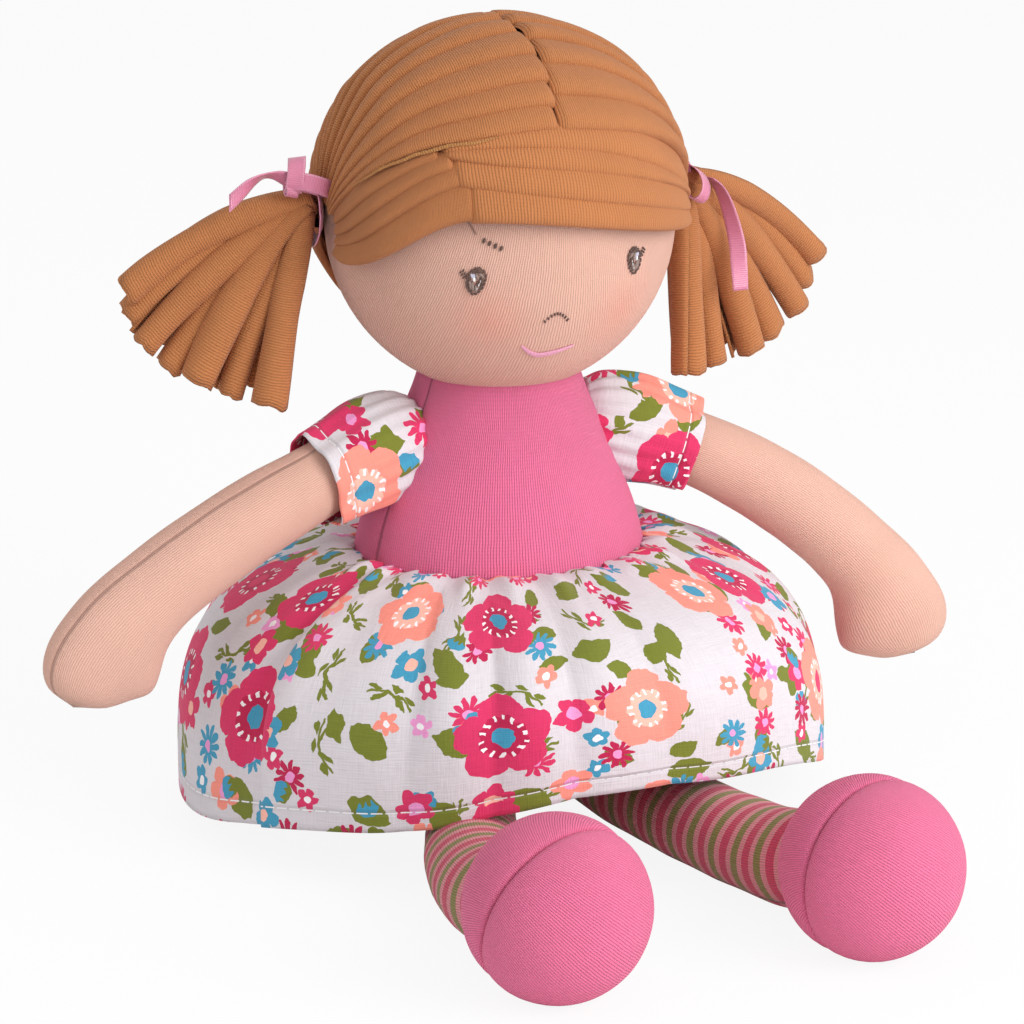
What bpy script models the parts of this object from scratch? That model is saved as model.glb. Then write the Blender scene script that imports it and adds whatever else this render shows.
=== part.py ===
# A seated rag doll of knitted jersey and printed cotton, stuffed with polyester fibre.
# The doll sits on the flat of its body at the origin and faces -Y; its right side is at -X.
# Covers and stuffing are separate solids. The head, arms, legs and pigtails turn on their joints.
import bpy
import bmesh
from math import acos, cos, degrees, exp, pi, radians, sin
from mathutils import Matrix, Vector

for old in list(bpy.data.objects):
    bpy.data.objects.remove(old)

MM = 0.001
SIDES = {"right": -1, "left": 1}

# Cloth, thread and clearances
SEW_GAP = 0.3 * MM
JERSEY_WALL = 1.2 * MM
COTTON_WALL = 0.8 * MM
THREAD_RADIUS = 0.45 * MM
JOINT_GAP = 1.9 * MM
OVERRUN = 60 * MM

# Body: a bell that ends in a ball under the head
NECK_PIVOT_HEIGHT = 108 * MM
NECK_BALL_RADIUS = 23.6 * MM
BODY_HALF_WIDTH = 42 * MM
BODY_HALF_DEPTH = 38 * MM
BODY_FLAT_DEPTH = 0.5 * MM
BODY_SEAM_OFFSET = BODY_HALF_DEPTH * 0.1316
BODY_SIDES = 8
# (height, half width, front, back) as shares of pivot height, half width, half depth, half depth
BODY_OUTLINE_SHARES = [
    (0.0, 0.42, 0.24, 0.52),
    (0.0, 0.66, 0.45, 0.77),
    (0.08, 0.90, 0.66, 0.95),
    (0.27, 1.0, 0.92, 1.0),
    (0.50, 1.01, 1.0, 1.0),
    (0.72, 0.91, 0.89, 0.89),
    (0.89, 0.72, 0.73, 0.73),
]
# polar angles of the ball's rings from its top, and how far its cage stands out
BALL_RING_DEGREES = [82, 48, 16]
BALL_CAGE_SHARE = 1.03

# Head and neck
NECK_TO_HEAD_CENTRE = 51.5 * MM
HEAD_CENTRE_HEIGHT = NECK_PIVOT_HEIGHT + NECK_TO_HEAD_CENTRE
HEAD_CENTRE_FORWARD = 1 * MM
HEAD_RADIUS = 46.5 * MM
HEAD_DEPTH_SHARE = 0.965
HEAD_SEGMENTS = 20

# Hair: rolled jersey strips sewn down from the parting to the two ties
HAIR_CLEARANCE = 0.9 * MM
HAIR_VALLEY = 3.6 * MM
HAIR_RIDGE = 6.0 * MM
HAIR_CROWN_LIFT = 0.8 * MM
HAIR_TIE_SHARE = 0.5
PARTING_HALF_GAP = 0.5 * MM
HAIR_BANDS = 14
FRINGE_BANDS = 5
BAND_CELLS = 3
TIE_OUT = HEAD_RADIUS + 6.5 * MM
TIE_HEIGHT = HEAD_CENTRE_HEIGHT + 4 * MM
TIE_BACK = 3 * MM

# Pigtails: a bunch of strands from each tie
STRAND_RADIUS = 4.1 * MM
STRAND_ROOT_RADIUS = 2.6 * MM
STRAND_LENGTH = 54 * MM
BUNCH_RADIUS = 6.4 * MM
BUNCH_LENGTH = 5 * MM
FRONT_STRANDS = 6
BACK_STRANDS = 4
FAN_TOP_DEGREES = {"right": -25, "left": -29}
FAN_BOTTOM_DEGREES = -86
FAN_BACK_DEGREES = 20
FAN_DEPTH = 8.5 * MM

# Ribbon bows at the ties
RIBBON_WIDTH = 4.2 * MM
RIBBON_THICKNESS = 0.7 * MM
BOW_LOOP_LENGTH = 12 * MM
BOW_LOOP_HEIGHT = 6 * MM
BOW_TAIL_LENGTH = 19 * MM
KNOT_RADIUS = 3.0 * MM

# Face embroidery, as degrees round the head from the front and above its centre
EYE_AZIMUTH_DEGREES = 29
EYE_ELEVATION_DEGREES = -8
EYE_HALF_WIDTH = 2.5 * MM
EYE_HALF_HEIGHT = 3.4 * MM
STITCH_RISE = 0.7 * MM
STITCH_RADIUS = 0.4 * MM
NOSE_HALF_WIDTH_DEGREES = 5
MOUTH_HALF_WIDTH_DEGREES = 13

# (distance behind the pivot, radius) of a limb's two root rings, as shares of its root radius
ROOT_RING_SHARES = [(0.9, 0.46), (0.64, 0.85)]

# Arms: pivot, direction and mitten hand
SHOULDER_OUT = BODY_HALF_WIDTH * 0.7524
SHOULDER_DROP = 8 * MM
SHOULDER_HEIGHT = NECK_PIVOT_HEIGHT - SHOULDER_DROP
ARM_LENGTH = {"right": 113 * MM, "left": 116 * MM}
ARM_RADIUS = 11 * MM
ARM_ROOT_RADIUS = 8.8 * MM
HAND_HALF_WIDTH = 13.6 * MM
HAND_HALF_THICKNESS = 9.5 * MM
ARM_FORWARD_DEGREES = 13
ARM_SIDES = 6
# degrees below level at the root, the sleeve's end, the middle, the wrist, the palm and the tip
ARM_DROP_DEGREES = {"right": [15, 19, 24, 31, 46, 62], "left": [13, 23, 34, 45, 57, 69]}
ARM_STATION_SHARES = [0.0, 0.2, 0.45, 0.68, 0.84, 0.95]
THUMB_LENGTH = 6.5 * MM

# Sleeves
SLEEVE_LENGTH = 24.5 * MM
SLEEVE_ROOT_RADIUS = 14.6 * MM
SLEEVE_CUFF_RADIUS = 12.8 * MM
SLEEVE_OVERLAP = 7 * MM
SLEEVE_SIDES = 8

# Legs, stockings and ball-shaped shoes
HIP_OUT = BODY_HALF_WIDTH * 0.4048
HIP_FORWARD = BODY_HALF_DEPTH * 0.7105
HIP_HEIGHT = 11.2 * MM
LEG_ROOT_RADIUS = 9.6 * MM
LEG_HALF_WIDTH = 13.2 * MM
LEG_HALF_HEIGHT = 11.2 * MM
LEG_TO_ANKLE = {"right": 95 * MM, "left": 97 * MM}
FOOT_RADIUS = 21.4 * MM
# degrees outward and up at eight stations from the hip to the toe; the right leg bends inward
LEG_SPLAY_DEGREES = {"right": [23, 20, 8, -5, -9, -11, -11, -11], "left": [12, 12, 13, 14, 15, 15, 15, 15]}
LEG_LIFT_DEGREES = [0, 1.5, 5, 12, 15, 14, 13, 13]
LEG_SIDES = 6
# direction of each toe cap, and how far its seam lies behind the middle of the shoe
SHOE_SEAM_WAY = {"right": Vector((0.306, -0.894, -0.318)), "left": Vector((0.302, -0.951, -0.036))}
SHOE_SEAM_BACK = 0.8 * MM

# Skirt
WAIST_HEIGHT = NECK_PIVOT_HEIGHT * 0.676
WAIST_SHARE = 0.925
HEM_RADIUS = 87.5 * MM
HEM_SIDE_HEIGHT = 9 * MM
HEM_FRONT_RISE = 18.5 * MM
HEM_RISE_SPREAD_DEGREES = 58
SKIRT_FOLD_DEPTH = 3.2 * MM
SKIRT_FOLDS = 9
SKIRT_COLUMNS = 50
SKIRT_ROWS = 8
SKIRT_SWELL_SHARES = (1.3, 0.62)

JERSEY_PINK = (0.78, 0.12, 0.34)
SKIN = (0.75, 0.46, 0.33)
HAIR_BROWN = (0.47, 0.20, 0.07)
PRINT_GROUND = (0.84, 0.78, 0.81)
STOCKING_ROSE = (0.55, 0.07, 0.15)
RIBBON_PINK = (0.75, 0.22, 0.36)
FIBRE_WHITE = (0.88, 0.88, 0.86)
EYE_THREAD = (0.08, 0.06, 0.05)
MOUTH_THREAD = (0.80, 0.25, 0.42)
SEAM_THREAD = (0.60, 0.30, 0.30)

NECK_PIVOT = Vector((0, 0, NECK_PIVOT_HEIGHT))
HEAD_CENTRE = Vector((0, -HEAD_CENTRE_FORWARD, HEAD_CENTRE_HEIGHT))


def collection(name):
    made = bpy.data.collections.new(name)
    bpy.context.scene.collection.children.link(made)
    return made


def material(name, colour, roughness=0.9):
    made = bpy.data.materials.new(name)
    made.use_nodes = True
    shader = made.node_tree.nodes["Principled BSDF"]
    shader.inputs["Base Color"].default_value = (*colour, 1)
    shader.inputs["Roughness"].default_value = roughness
    shader.inputs["Metallic"].default_value = 0
    return made


def face_outwards(shape):
    bmesh.ops.recalc_face_normals(shape, faces=shape.faces)
    closed = all(edge.is_manifold for edge in shape.edges)
    if closed and shape.calc_volume(signed=True) < 0:
        bmesh.ops.reverse_faces(shape, faces=shape.faces)


def add_piece(name, mesh_source, colour, roughness=0.9):
    """A named sub-part from a bmesh, or from another piece's mesh."""
    if isinstance(mesh_source, bmesh.types.BMesh):
        mesh = bpy.data.meshes.new(name)
        face_outwards(mesh_source)
        mesh_source.to_mesh(mesh)
        mesh_source.free()
    else:
        mesh = mesh_source.copy()
    mesh.materials.clear()
    mesh.materials.append(material(name, colour, roughness))
    mesh.shade_smooth()
    piece = bpy.data.objects.new(name, mesh)
    DOLL.objects.link(piece)
    return piece


def add_cutter(name, shape):
    """A closed shape that only cuts other pieces."""
    mesh = bpy.data.meshes.new(name)
    face_outwards(shape)
    shape.to_mesh(mesh)
    shape.free()
    cutter = bpy.data.objects.new(name, mesh)
    cutter.hide_render = True
    cutter.display_type = "WIRE"
    CUTTERS.objects.link(cutter)
    return cutter


def subdivide(piece, levels=1):
    step = piece.modifiers.new("subdivide", "SUBSURF")
    step.levels = levels
    step.render_levels = levels


def give_wall(piece, wall):
    step = piece.modifiers.new("wall", "SOLIDIFY")
    step.thickness = wall
    step.offset = -1


def shrink(piece, depth):
    step = piece.modifiers.new("shrink", "DISPLACE")
    step.strength = -depth
    step.mid_level = 0


def boolean(piece, other, operation="DIFFERENCE"):
    step = piece.modifiers.new(operation.lower(), "BOOLEAN")
    step.operation = operation
    step.solver = "EXACT"
    step.object = other


def cage_radius(radius, sides):
    """The ring of a cage lies this far out for the subdivided surface to lie at the radius."""
    return radius * 3 / (2 + cos(2 * pi / sides))


def ball(centre, radius, segments=16, scale=(1, 1, 1)):
    shape = bmesh.new()
    bmesh.ops.create_uvsphere(shape, u_segments=segments, v_segments=segments // 2, radius=radius)
    bmesh.ops.transform(shape, matrix=Matrix.Translation(centre) @ Matrix.Diagonal((*scale, 1)), verts=shape.verts)
    return shape


def slab(low, high):
    shape = bmesh.new()
    low, high = Vector(low), Vector(high)
    bmesh.ops.create_cube(shape, size=1)
    size = Matrix.Diagonal((*(high - low), 1))
    bmesh.ops.transform(shape, matrix=Matrix.Translation((low + high) / 2) @ size, verts=shape.verts)
    return shape


def rod(start, end, radius, segments=16):
    start, end = Vector(start), Vector(end)
    shape = bmesh.new()
    bmesh.ops.create_cone(
        shape, cap_ends=True, segments=segments, radius1=radius, radius2=radius, depth=(end - start).length
    )
    turn = (end - start).to_track_quat("Z", "Y").to_matrix().to_4x4()
    bmesh.ops.transform(shape, matrix=Matrix.Translation((start + end) / 2) @ turn, verts=shape.verts)
    return shape


def ring_frame(centre, along, up, half_up, half_across):
    """Places a unit circle square to a path: its x runs up, its y across."""
    along = along.normalized()
    across = along.cross(up).normalized()
    up = across.cross(along)
    turn = Matrix((up * half_up, across * half_across, along)).transposed().to_4x4()
    return Matrix.Translation(centre) @ turn


def grow_tube(frames, sides, close_start=True, close_end=True):
    """A tube cage through the frames, from one circle extruded ring by ring."""
    shape = bmesh.new()
    start = bmesh.ops.create_circle(shape, segments=sides, radius=1)["verts"]
    bmesh.ops.rotate(shape, verts=start, matrix=Matrix.Rotation(pi / sides, 3, "Z"))
    edges = list(shape.edges)
    bmesh.ops.transform(shape, matrix=frames[0], verts=start)
    first = edges
    for before, after in zip(frames, frames[1:]):
        grown = bmesh.ops.extrude_edge_only(shape, edges=edges)["geom"]
        verts = [part for part in grown if isinstance(part, bmesh.types.BMVert)]
        edges = [e for e in grown if isinstance(e, bmesh.types.BMEdge) and all(v in verts for v in e.verts)]
        bmesh.ops.transform(shape, matrix=after @ before.inverted(), verts=verts)
    if close_start:
        bmesh.ops.contextual_create(shape, geom=first)
    if close_end:
        bmesh.ops.contextual_create(shape, geom=edges)
    return shape


def walk(start, heading, turn_axis, distances, angles):
    """Points and directions of a bent path: each stretch runs at the mean of its two angles."""
    point = Vector(start)
    places = []
    for index, (distance, angle) in enumerate(zip(distances, angles)):
        along = Matrix.Rotation(radians(angle), 3, turn_axis) @ heading
        if index:
            mean = radians((angle + angles[index - 1]) / 2)
            stretch = Matrix.Rotation(mean, 3, turn_axis) @ heading
            point = point + stretch * (distance - distances[index - 1])
        places.append((point, along))
    return places


def thread_ring(name, centre, direction, polar_degrees, sphere_radius):
    """A loop of strong thread that lies in the gap of a joint's two round faces."""
    direction = direction.normalized()
    ring_radius = sphere_radius * sin(radians(polar_degrees))
    middle = centre + direction * sphere_radius * cos(radians(polar_degrees))
    data = bpy.data.curves.new(name, "CURVE")
    data.dimensions = "3D"
    data.bevel_depth = THREAD_RADIUS
    data.bevel_resolution = 0
    spline = data.splines.new("POLY")
    count = 14
    spline.points.add(count - 1)
    turn = direction.to_track_quat("Z", "Y").to_matrix()
    for index, point in enumerate(spline.points):
        angle = 2 * pi * index / count
        place = middle + turn @ Vector((ring_radius * cos(angle), ring_radius * sin(angle), 0))
        point.co = (*place, 1)
    spline.use_cyclic_u = True
    data.materials.append(material(name, SEAM_THREAD))
    ring = bpy.data.objects.new(name, data)
    DOLL.objects.link(ring)
    return ring


def on_head(azimuth, elevation, rise):
    """A point over the face: degrees round from the front and up from the centre."""
    around, up = radians(azimuth), radians(elevation)
    way = Vector((sin(around) * cos(up), -cos(around) * cos(up) * HEAD_DEPTH_SHARE, sin(up)))
    return HEAD_CENTRE + way * (HEAD_RADIUS + rise)


# Body covers, stuffing and the cuts that let the limbs swing
def body_frames():
    frames = []
    for height, wide, front, back in BODY_OUTLINE_SHARES:
        level = height * NECK_PIVOT_HEIGHT - (height == 0) * BODY_FLAT_DEPTH
        centre = Vector((0, (back - front) / 2 * BODY_HALF_DEPTH, level))
        half_wide = cage_radius(wide * BODY_HALF_WIDTH, BODY_SIDES)
        half_deep = cage_radius((front + back) / 2 * BODY_HALF_DEPTH, BODY_SIDES)
        frames.append(ring_frame(centre, Vector((0, 0, 1)), Vector((0, 1, 0)), half_deep, half_wide))
    for polar in BALL_RING_DEGREES:
        radius = NECK_BALL_RADIUS * BALL_CAGE_SHARE
        centre = NECK_PIVOT + Vector((0, 0, radius * cos(radians(polar))))
        reach = cage_radius(radius * sin(radians(polar)), BODY_SIDES)
        frames.append(ring_frame(centre, Vector((0, 0, 1)), Vector((0, 1, 0)), reach, reach))
    return frames


def make_body():
    half = {"body_front": 1, "body_back": -1}
    relief = [add_cutter("seat_cut", slab((-OVERRUN, -OVERRUN, -OVERRUN), (OVERRUN, OVERRUN, 0)))]
    for side, sign in SIDES.items():
        socket = ball(shoulder(sign), ARM_ROOT_RADIUS + JOINT_GAP)
        relief.append(add_cutter("armhole_" + side, socket))
        hip = hip_point(sign)
        relief.append(add_cutter("hip_socket_" + side, ball(hip, LEG_ROOT_RADIUS + JOINT_GAP)))
        below = hip - Vector((0, 0, OVERRUN))
        relief.append(add_cutter("thigh_room_" + side, rod(below, hip, LEG_ROOT_RADIUS + JOINT_GAP)))
    for name, facing in half.items():
        cover = add_piece(name, grow_tube(body_frames(), BODY_SIDES), JERSEY_PINK)
        subdivide(cover)
        give_wall(cover, JERSEY_WALL)
        seam = BODY_SEAM_OFFSET + (facing < 0) * SEW_GAP
        low, high = (seam, 3 * OVERRUN) if facing > 0 else (-3 * OVERRUN, seam)
        cut = slab((-OVERRUN, low, -OVERRUN), (OVERRUN, high, 3 * OVERRUN))
        boolean(cover, add_cutter(name + "_seam", cut))
        for cutter in relief:
            boolean(cover, cutter)
    around = add_cutter("body_clearance", grow_tube(body_frames(), BODY_SIDES))
    subdivide(around)
    shrink(around, -SEW_GAP)
    stuffing = add_piece("body_stuffing", grow_tube(body_frames(), BODY_SIDES), FIBRE_WHITE)
    subdivide(stuffing)
    shrink(stuffing, JERSEY_WALL + SEW_GAP)
    for cutter in relief:
        boolean(stuffing, cutter)


def shoulder(sign):
    return Vector((sign * SHOULDER_OUT, 0, SHOULDER_HEIGHT))


def hip_point(sign):
    return Vector((sign * HIP_OUT, -HIP_FORWARD, HIP_HEIGHT))


# Head
def make_head():
    shape = (1, HEAD_DEPTH_SHARE, 1)
    socket = add_cutter("neck_socket", ball(NECK_PIVOT, NECK_BALL_RADIUS + JOINT_GAP, 28))
    cover = add_piece("head_cover", ball(HEAD_CENTRE, HEAD_RADIUS, HEAD_SEGMENTS, shape), SKIN)
    give_wall(cover, JERSEY_WALL)
    boolean(cover, socket)
    stuffing = add_piece("head_stuffing", ball(HEAD_CENTRE, HEAD_RADIUS, HEAD_SEGMENTS, shape), FIBRE_WHITE)
    shrink(stuffing, JERSEY_WALL + SEW_GAP)
    boolean(stuffing, socket)
    up = Vector((0, 0, 1))
    rim_height = HEAD_CENTRE_HEIGHT - NECK_PIVOT_HEIGHT
    socket_radius = NECK_BALL_RADIUS + JOINT_GAP
    rim = (socket_radius**2 - HEAD_RADIUS**2 + rim_height**2) / (2 * rim_height)
    polar = degrees(acos(rim / socket_radius))
    thread_ring("neck_stitches", NECK_PIVOT, up, polar, NECK_BALL_RADIUS + JOINT_GAP / 2)


# Hair patches round the axis through the ties
def hair_point(sign, around, out_share, height):
    """A point over the head: around the ear-to-ear axis, and out from the tie to the parting."""
    polar = out_share * pi / 2
    across = Vector((0, -cos(around), sin(around)))
    tie = Vector((sign, 0, 0))
    way = tie * cos(polar) + across * sin(polar)
    reach = HEAD_RADIUS + height
    return HEAD_CENTRE + Vector((way.x * reach, way.y * reach * HEAD_DEPTH_SHARE, way.z * reach))


def hair_patch(name, sign, first_edge, last_edge, bands, near_share, far_share, rows):
    """Strips side by side from near the tie (0) to the parting (1), thick at each strip's middle.

    Each edge is the angle round the ear-to-ear axis at the parting, its change at the tie, and
    the power that gathers that change near the tie.
    """
    columns = bands * BAND_CELLS
    shape = bmesh.new()
    bmesh.ops.create_grid(shape, x_segments=columns, y_segments=rows, size=1)
    lower = list(shape.verts)
    places = {v: ((v.co.x + 1) / 2, (v.co.y + 1) / 2) for v in lower}
    grown = bmesh.ops.extrude_face_region(shape, geom=list(shape.faces), use_keep_orig=True)["geom"]
    upper = [part for part in grown if isinstance(part, bmesh.types.BMVert)]
    upper_places = {v: ((v.co.x + 1) / 2, (v.co.y + 1) / 2) for v in upper}
    for where, outside in ((places, False), (upper_places, True)):
        for vert, (u, v) in where.items():
            start, end = (at + swing * (1 - v) ** power for at, swing, power in (first_edge, last_edge))
            around = radians(start + (end - start) * u)
            out = near_share + (far_share - near_share) * v
            height = HAIR_CLEARANCE
            if outside:
                phase = (u * columns) % BAND_CELLS
                on_ridge = 0.5 < phase < BAND_CELLS - 0.5
                full = HAIR_RIDGE if on_ridge else HAIR_VALLEY
                height += full * (HAIR_TIE_SHARE + (1 - HAIR_TIE_SHARE) * min(1, 2.5 * v))
                height += HAIR_CROWN_LIFT * max(0, sin(around)) * sin(out * pi / 2)
            vert.co = hair_point(sign, around, out, height)
    return add_piece(name, shape, HAIR_BROWN)


def make_hair():
    gap_share = PARTING_HALF_GAP / HEAD_RADIUS
    for side, sign in SIDES.items():
        hair_patch("hair_" + side, sign, (38, 0, 1), (236, -50, 1.5), HAIR_BANDS, 0.1, 1 - gap_share, 5)
    lower_edges = {"right": (7, -60, 2), "left": (10.5, -21, 1.42)}
    for side, far in {"right": 0.66, "left": 1.31}.items():
        edge = lower_edges[side]
        hair_patch("fringe_" + side, SIDES[side], edge, (36.8, 0, 1), FRINGE_BANDS, 0.12, far, 6)


# Pigtails
def strand(start, end, sag):
    """One rolled strip: a six-sided tube that widens from the tie and droops a little."""
    points = [start.lerp(end, share) + Vector((0, 0, sag * share * (1 - share) * 4)) for share in (0, 0.25, 0.6, 1)]
    radii = (STRAND_ROOT_RADIUS, STRAND_RADIUS * 0.85, STRAND_RADIUS, STRAND_RADIUS)
    frames = []
    for index, point in enumerate(points):
        ahead = points[min(index + 1, len(points) - 1)] - points[max(index - 1, 0)]
        frames.append(ring_frame(point, ahead, Vector((0, 1, 0)), radii[index], radii[index]))
    return grow_tube(frames, 6)


def tie_point(sign):
    return Vector((sign * TIE_OUT, TIE_BACK, TIE_HEIGHT))


def make_pigtail(side, sign):
    tie = tie_point(sign)
    turn = Matrix.Rotation(radians(sign * FAN_BACK_DEGREES), 3, "Z")
    out = turn @ Vector((sign, 0, 0))
    back = turn @ Vector((0, 1, 0))
    half = Vector((BUNCH_LENGTH / 2, 0, 0))
    core = rod(tie - half, tie + half, BUNCH_RADIUS, 12)
    pigtail = add_piece("pigtail_" + side, core, HAIR_BROWN)
    layers = [(FRONT_STRANDS, -1), (BACK_STRANDS, 1)]
    for count, layer in layers:
        for index in range(count):
            share = index / (count - 1)
            top = FAN_TOP_DEGREES[side]
            angle = radians(top + (FAN_BOTTOM_DEGREES - top) * share)
            way = out * cos(angle) + Vector((0, 0, sin(angle)))
            spread = BUNCH_RADIUS - STRAND_ROOT_RADIUS
            start = tie + back * (layer * spread / 2) + Vector((0, 0, spread * (1 - 2 * share) / 2))
            end = tie + way * STRAND_LENGTH + back * (layer * FAN_DEPTH / 2)
            piece = add_cutter(f"strand_{side}_{layer}_{index}", strand(start, end, STRAND_RADIUS))
            boolean(pigtail, piece, "UNION")


# Ribbon bows
def ribbon_strip(points, normal_up):
    """A flat ribbon along the points, its width along normal_up."""
    shape = bmesh.new()
    half = normal_up.normalized() * RIBBON_WIDTH / 2
    edge = [shape.verts.new(points[0] - half), shape.verts.new(points[0] + half)]
    edges = [shape.edges.new(edge)]
    for before, after in zip(points, points[1:]):
        grown = bmesh.ops.extrude_edge_only(shape, edges=edges)["geom"]
        verts = [part for part in grown if isinstance(part, bmesh.types.BMVert)]
        edges = [part for part in grown if isinstance(part, bmesh.types.BMEdge) and set(part.verts) == set(verts)]
        bmesh.ops.translate(shape, verts=verts, vec=after - before)
    return shape


def make_bow(side, sign):
    tie = tie_point(sign)
    front = tie + Vector((sign * BUNCH_LENGTH * 0.3, -BUNCH_RADIUS - KNOT_RADIUS * 0.85 - SEW_GAP, 0))
    knot = add_piece("bow_" + side, ball(front, KNOT_RADIUS, 10, (0.9, 0.8, 1)), RIBBON_PINK, 0.35)
    out = Vector((sign, 0, 0))
    up = Vector((0, 0, 1))
    toward = Vector((0, -1, 0))
    loops = {"upper": (up + out * 0.2 + toward * 0.3, 14), "lower": (toward - up * 0.3 - out * 0.2, 21)}
    for name, (way, opening) in loops.items():
        way.normalize()
        bulge = way.cross(out).normalized()
        points = []
        for step in range(7):
            angle = radians(opening + (360 - 2 * opening) * step / 6)
            reach = BOW_LOOP_LENGTH * (1 - cos(angle)) / 2
            points.append(front + way * reach + bulge * BOW_LOOP_HEIGHT / 2 * sin(angle))
        loop = add_cutter(f"bow_{name}_{side}", ribbon_strip(points, out))
        give_wall(loop, RIBBON_THICKNESS)
        boolean(knot, loop, "UNION")
    for name, way in (("tail", out * 0.2 - up), ("end", out * 0.9 - up * 0.3)):
        points = [front + way.normalized() * BOW_TAIL_LENGTH * share for share in (0.05, 0.4, 0.7, 1)]
        points[1] = points[1] + toward * KNOT_RADIUS / 2
        tail = add_cutter(f"bow_{name}_{side}", ribbon_strip(points, way.cross(toward)))
        give_wall(tail, RIBBON_THICKNESS)
        boolean(knot, tail, "UNION")


# Face embroidery
def thread_line(name, places, radius, colour, closed_ends=True):
    data = bpy.data.curves.new(name, "CURVE")
    data.dimensions = "3D"
    data.bevel_depth = radius
    data.bevel_resolution = 1
    data.use_fill_caps = closed_ends
    spline = data.splines.new("POLY")
    spline.points.add(len(places) - 1)
    for point, place in zip(spline.points, places):
        point.co = (*place, 1)
    data.materials.append(material(name, colour))
    line = bpy.data.objects.new(name, data)
    DOLL.objects.link(line)
    return line


def make_face():
    skin = add_cutter("face_clearance", ball(HEAD_CENTRE, HEAD_RADIUS + SEW_GAP, HEAD_SEGMENTS, (1, HEAD_DEPTH_SHARE, 1)))
    for side, sign in SIDES.items():
        centre = on_head(sign * EYE_AZIMUTH_DEGREES, EYE_ELEVATION_DEGREES, SEW_GAP)
        scale = (1, STITCH_RISE / EYE_HALF_WIDTH * 1.6, EYE_HALF_HEIGHT / EYE_HALF_WIDTH)
        shape = bmesh.new()
        bmesh.ops.create_uvsphere(shape, u_segments=10, v_segments=8, radius=EYE_HALF_WIDTH)
        turn = Matrix.Rotation(radians(sign * EYE_AZIMUTH_DEGREES), 4, "Z")
        place = Matrix.Translation(centre) @ turn @ Matrix.Diagonal((*scale, 1))
        bmesh.ops.transform(shape, matrix=place, verts=shape.verts)
        eye = add_piece("eye_" + side, shape, EYE_THREAD)
        boolean(eye, skin)
    rise = SEW_GAP + STITCH_RADIUS * 1.2
    brow = []
    for index in range(3):
        brow.append(on_head(-26 + 3.4 * index, 4.4 - 1.8 * index, rise))
    thread_line("brow_right", brow, STITCH_RADIUS, EYE_THREAD)
    nose = []
    for index in range(7):
        share = index / 3 - 1
        nose.append(on_head(share * NOSE_HALF_WIDTH_DEGREES, -22.5 - 3.4 * share * share, rise))
    thread_line("nose_stitches", nose, STITCH_RADIUS, EYE_THREAD)
    mouth = []
    for index in range(9):
        share = index / 4 - 1
        mouth.append(on_head(share * MOUTH_HALF_WIDTH_DEGREES, -41 + 3.5 * share * share, rise))
    thread_line("mouth_stitches", mouth, STITCH_RADIUS, MOUTH_THREAD)


# Arms and sleeves
def arm_heading(sign):
    forward = Matrix.Rotation(radians(-sign * ARM_FORWARD_DEGREES), 3, "Z")
    return forward @ Vector((sign, 0, 0))


def arm_path(side, sign):
    heading = arm_heading(sign)
    turn_axis = Vector((0, 0, -1)).cross(heading) * -1
    distances = [share * ARM_LENGTH[side] for share in ARM_STATION_SHARES]
    return walk(shoulder(sign), heading, turn_axis, distances, ARM_DROP_DEGREES[side]), turn_axis


def arm_frames(side, sign):
    places, turn_axis = arm_path(side, sign)
    up = Vector((0, 0, 1))
    root, along = places[0]
    root_cage = cage_radius(ARM_ROOT_RADIUS, ARM_SIDES)
    frames = []
    for back_share, radius_share in ROOT_RING_SHARES:
        centre = root - along * ARM_ROOT_RADIUS * back_share
        frames.append(ring_frame(centre, along, up, root_cage * radius_share, root_cage * radius_share))
    halves = [
        (ARM_ROOT_RADIUS, ARM_ROOT_RADIUS),
        (ARM_RADIUS * 0.88, ARM_RADIUS * 0.88),
        (ARM_RADIUS, ARM_RADIUS),
        (ARM_RADIUS * 1.04, ARM_RADIUS),
        (HAND_HALF_WIDTH, HAND_HALF_THICKNESS),
        (HAND_HALF_WIDTH * 0.86, HAND_HALF_THICKNESS * 0.82),
    ]
    for (centre, along), (tall, thick) in zip(places, halves):
        tall, thick = cage_radius(tall, ARM_SIDES), cage_radius(thick, ARM_SIDES)
        frames.append(ring_frame(centre, along, up, tall, thick))
    tip, along = places[-1]
    end = tip + along * ARM_LENGTH[side] * (1 - ARM_STATION_SHARES[-1])
    frames.append(ring_frame(end, along, up, HAND_HALF_WIDTH * 0.5, HAND_HALF_THICKNESS * 0.4))
    return frames


def arm_cage(side, sign):
    """The arm's cage, with the thumb pulled out of the palm's lower edge."""
    shape = grow_tube(arm_frames(side, sign), ARM_SIDES)
    places, turn_axis = arm_path(side, sign)
    palm, along = places[4]
    inward = turn_axis.cross(along).normalized()
    if inward.z > 0:
        inward = -inward
    sought = palm + inward * HAND_HALF_WIDTH
    shape.faces.ensure_lookup_table()
    face = min(shape.faces, key=lambda f: (f.calc_center_median() - sought).length)
    grown = bmesh.ops.extrude_face_region(shape, geom=[face])["geom"]
    verts = [part for part in grown if isinstance(part, bmesh.types.BMVert)]
    bmesh.ops.delete(shape, geom=[face], context="FACES_ONLY")
    way = (inward + along * 0.25).normalized()
    bmesh.ops.translate(shape, verts=verts, vec=way * THUMB_LENGTH)
    middle = sum((v.co for v in verts), Vector()) / len(verts)
    bmesh.ops.scale(shape, verts=verts, vec=(0.75, 0.75, 0.75), space=Matrix.Translation(-middle))
    return shape


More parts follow.
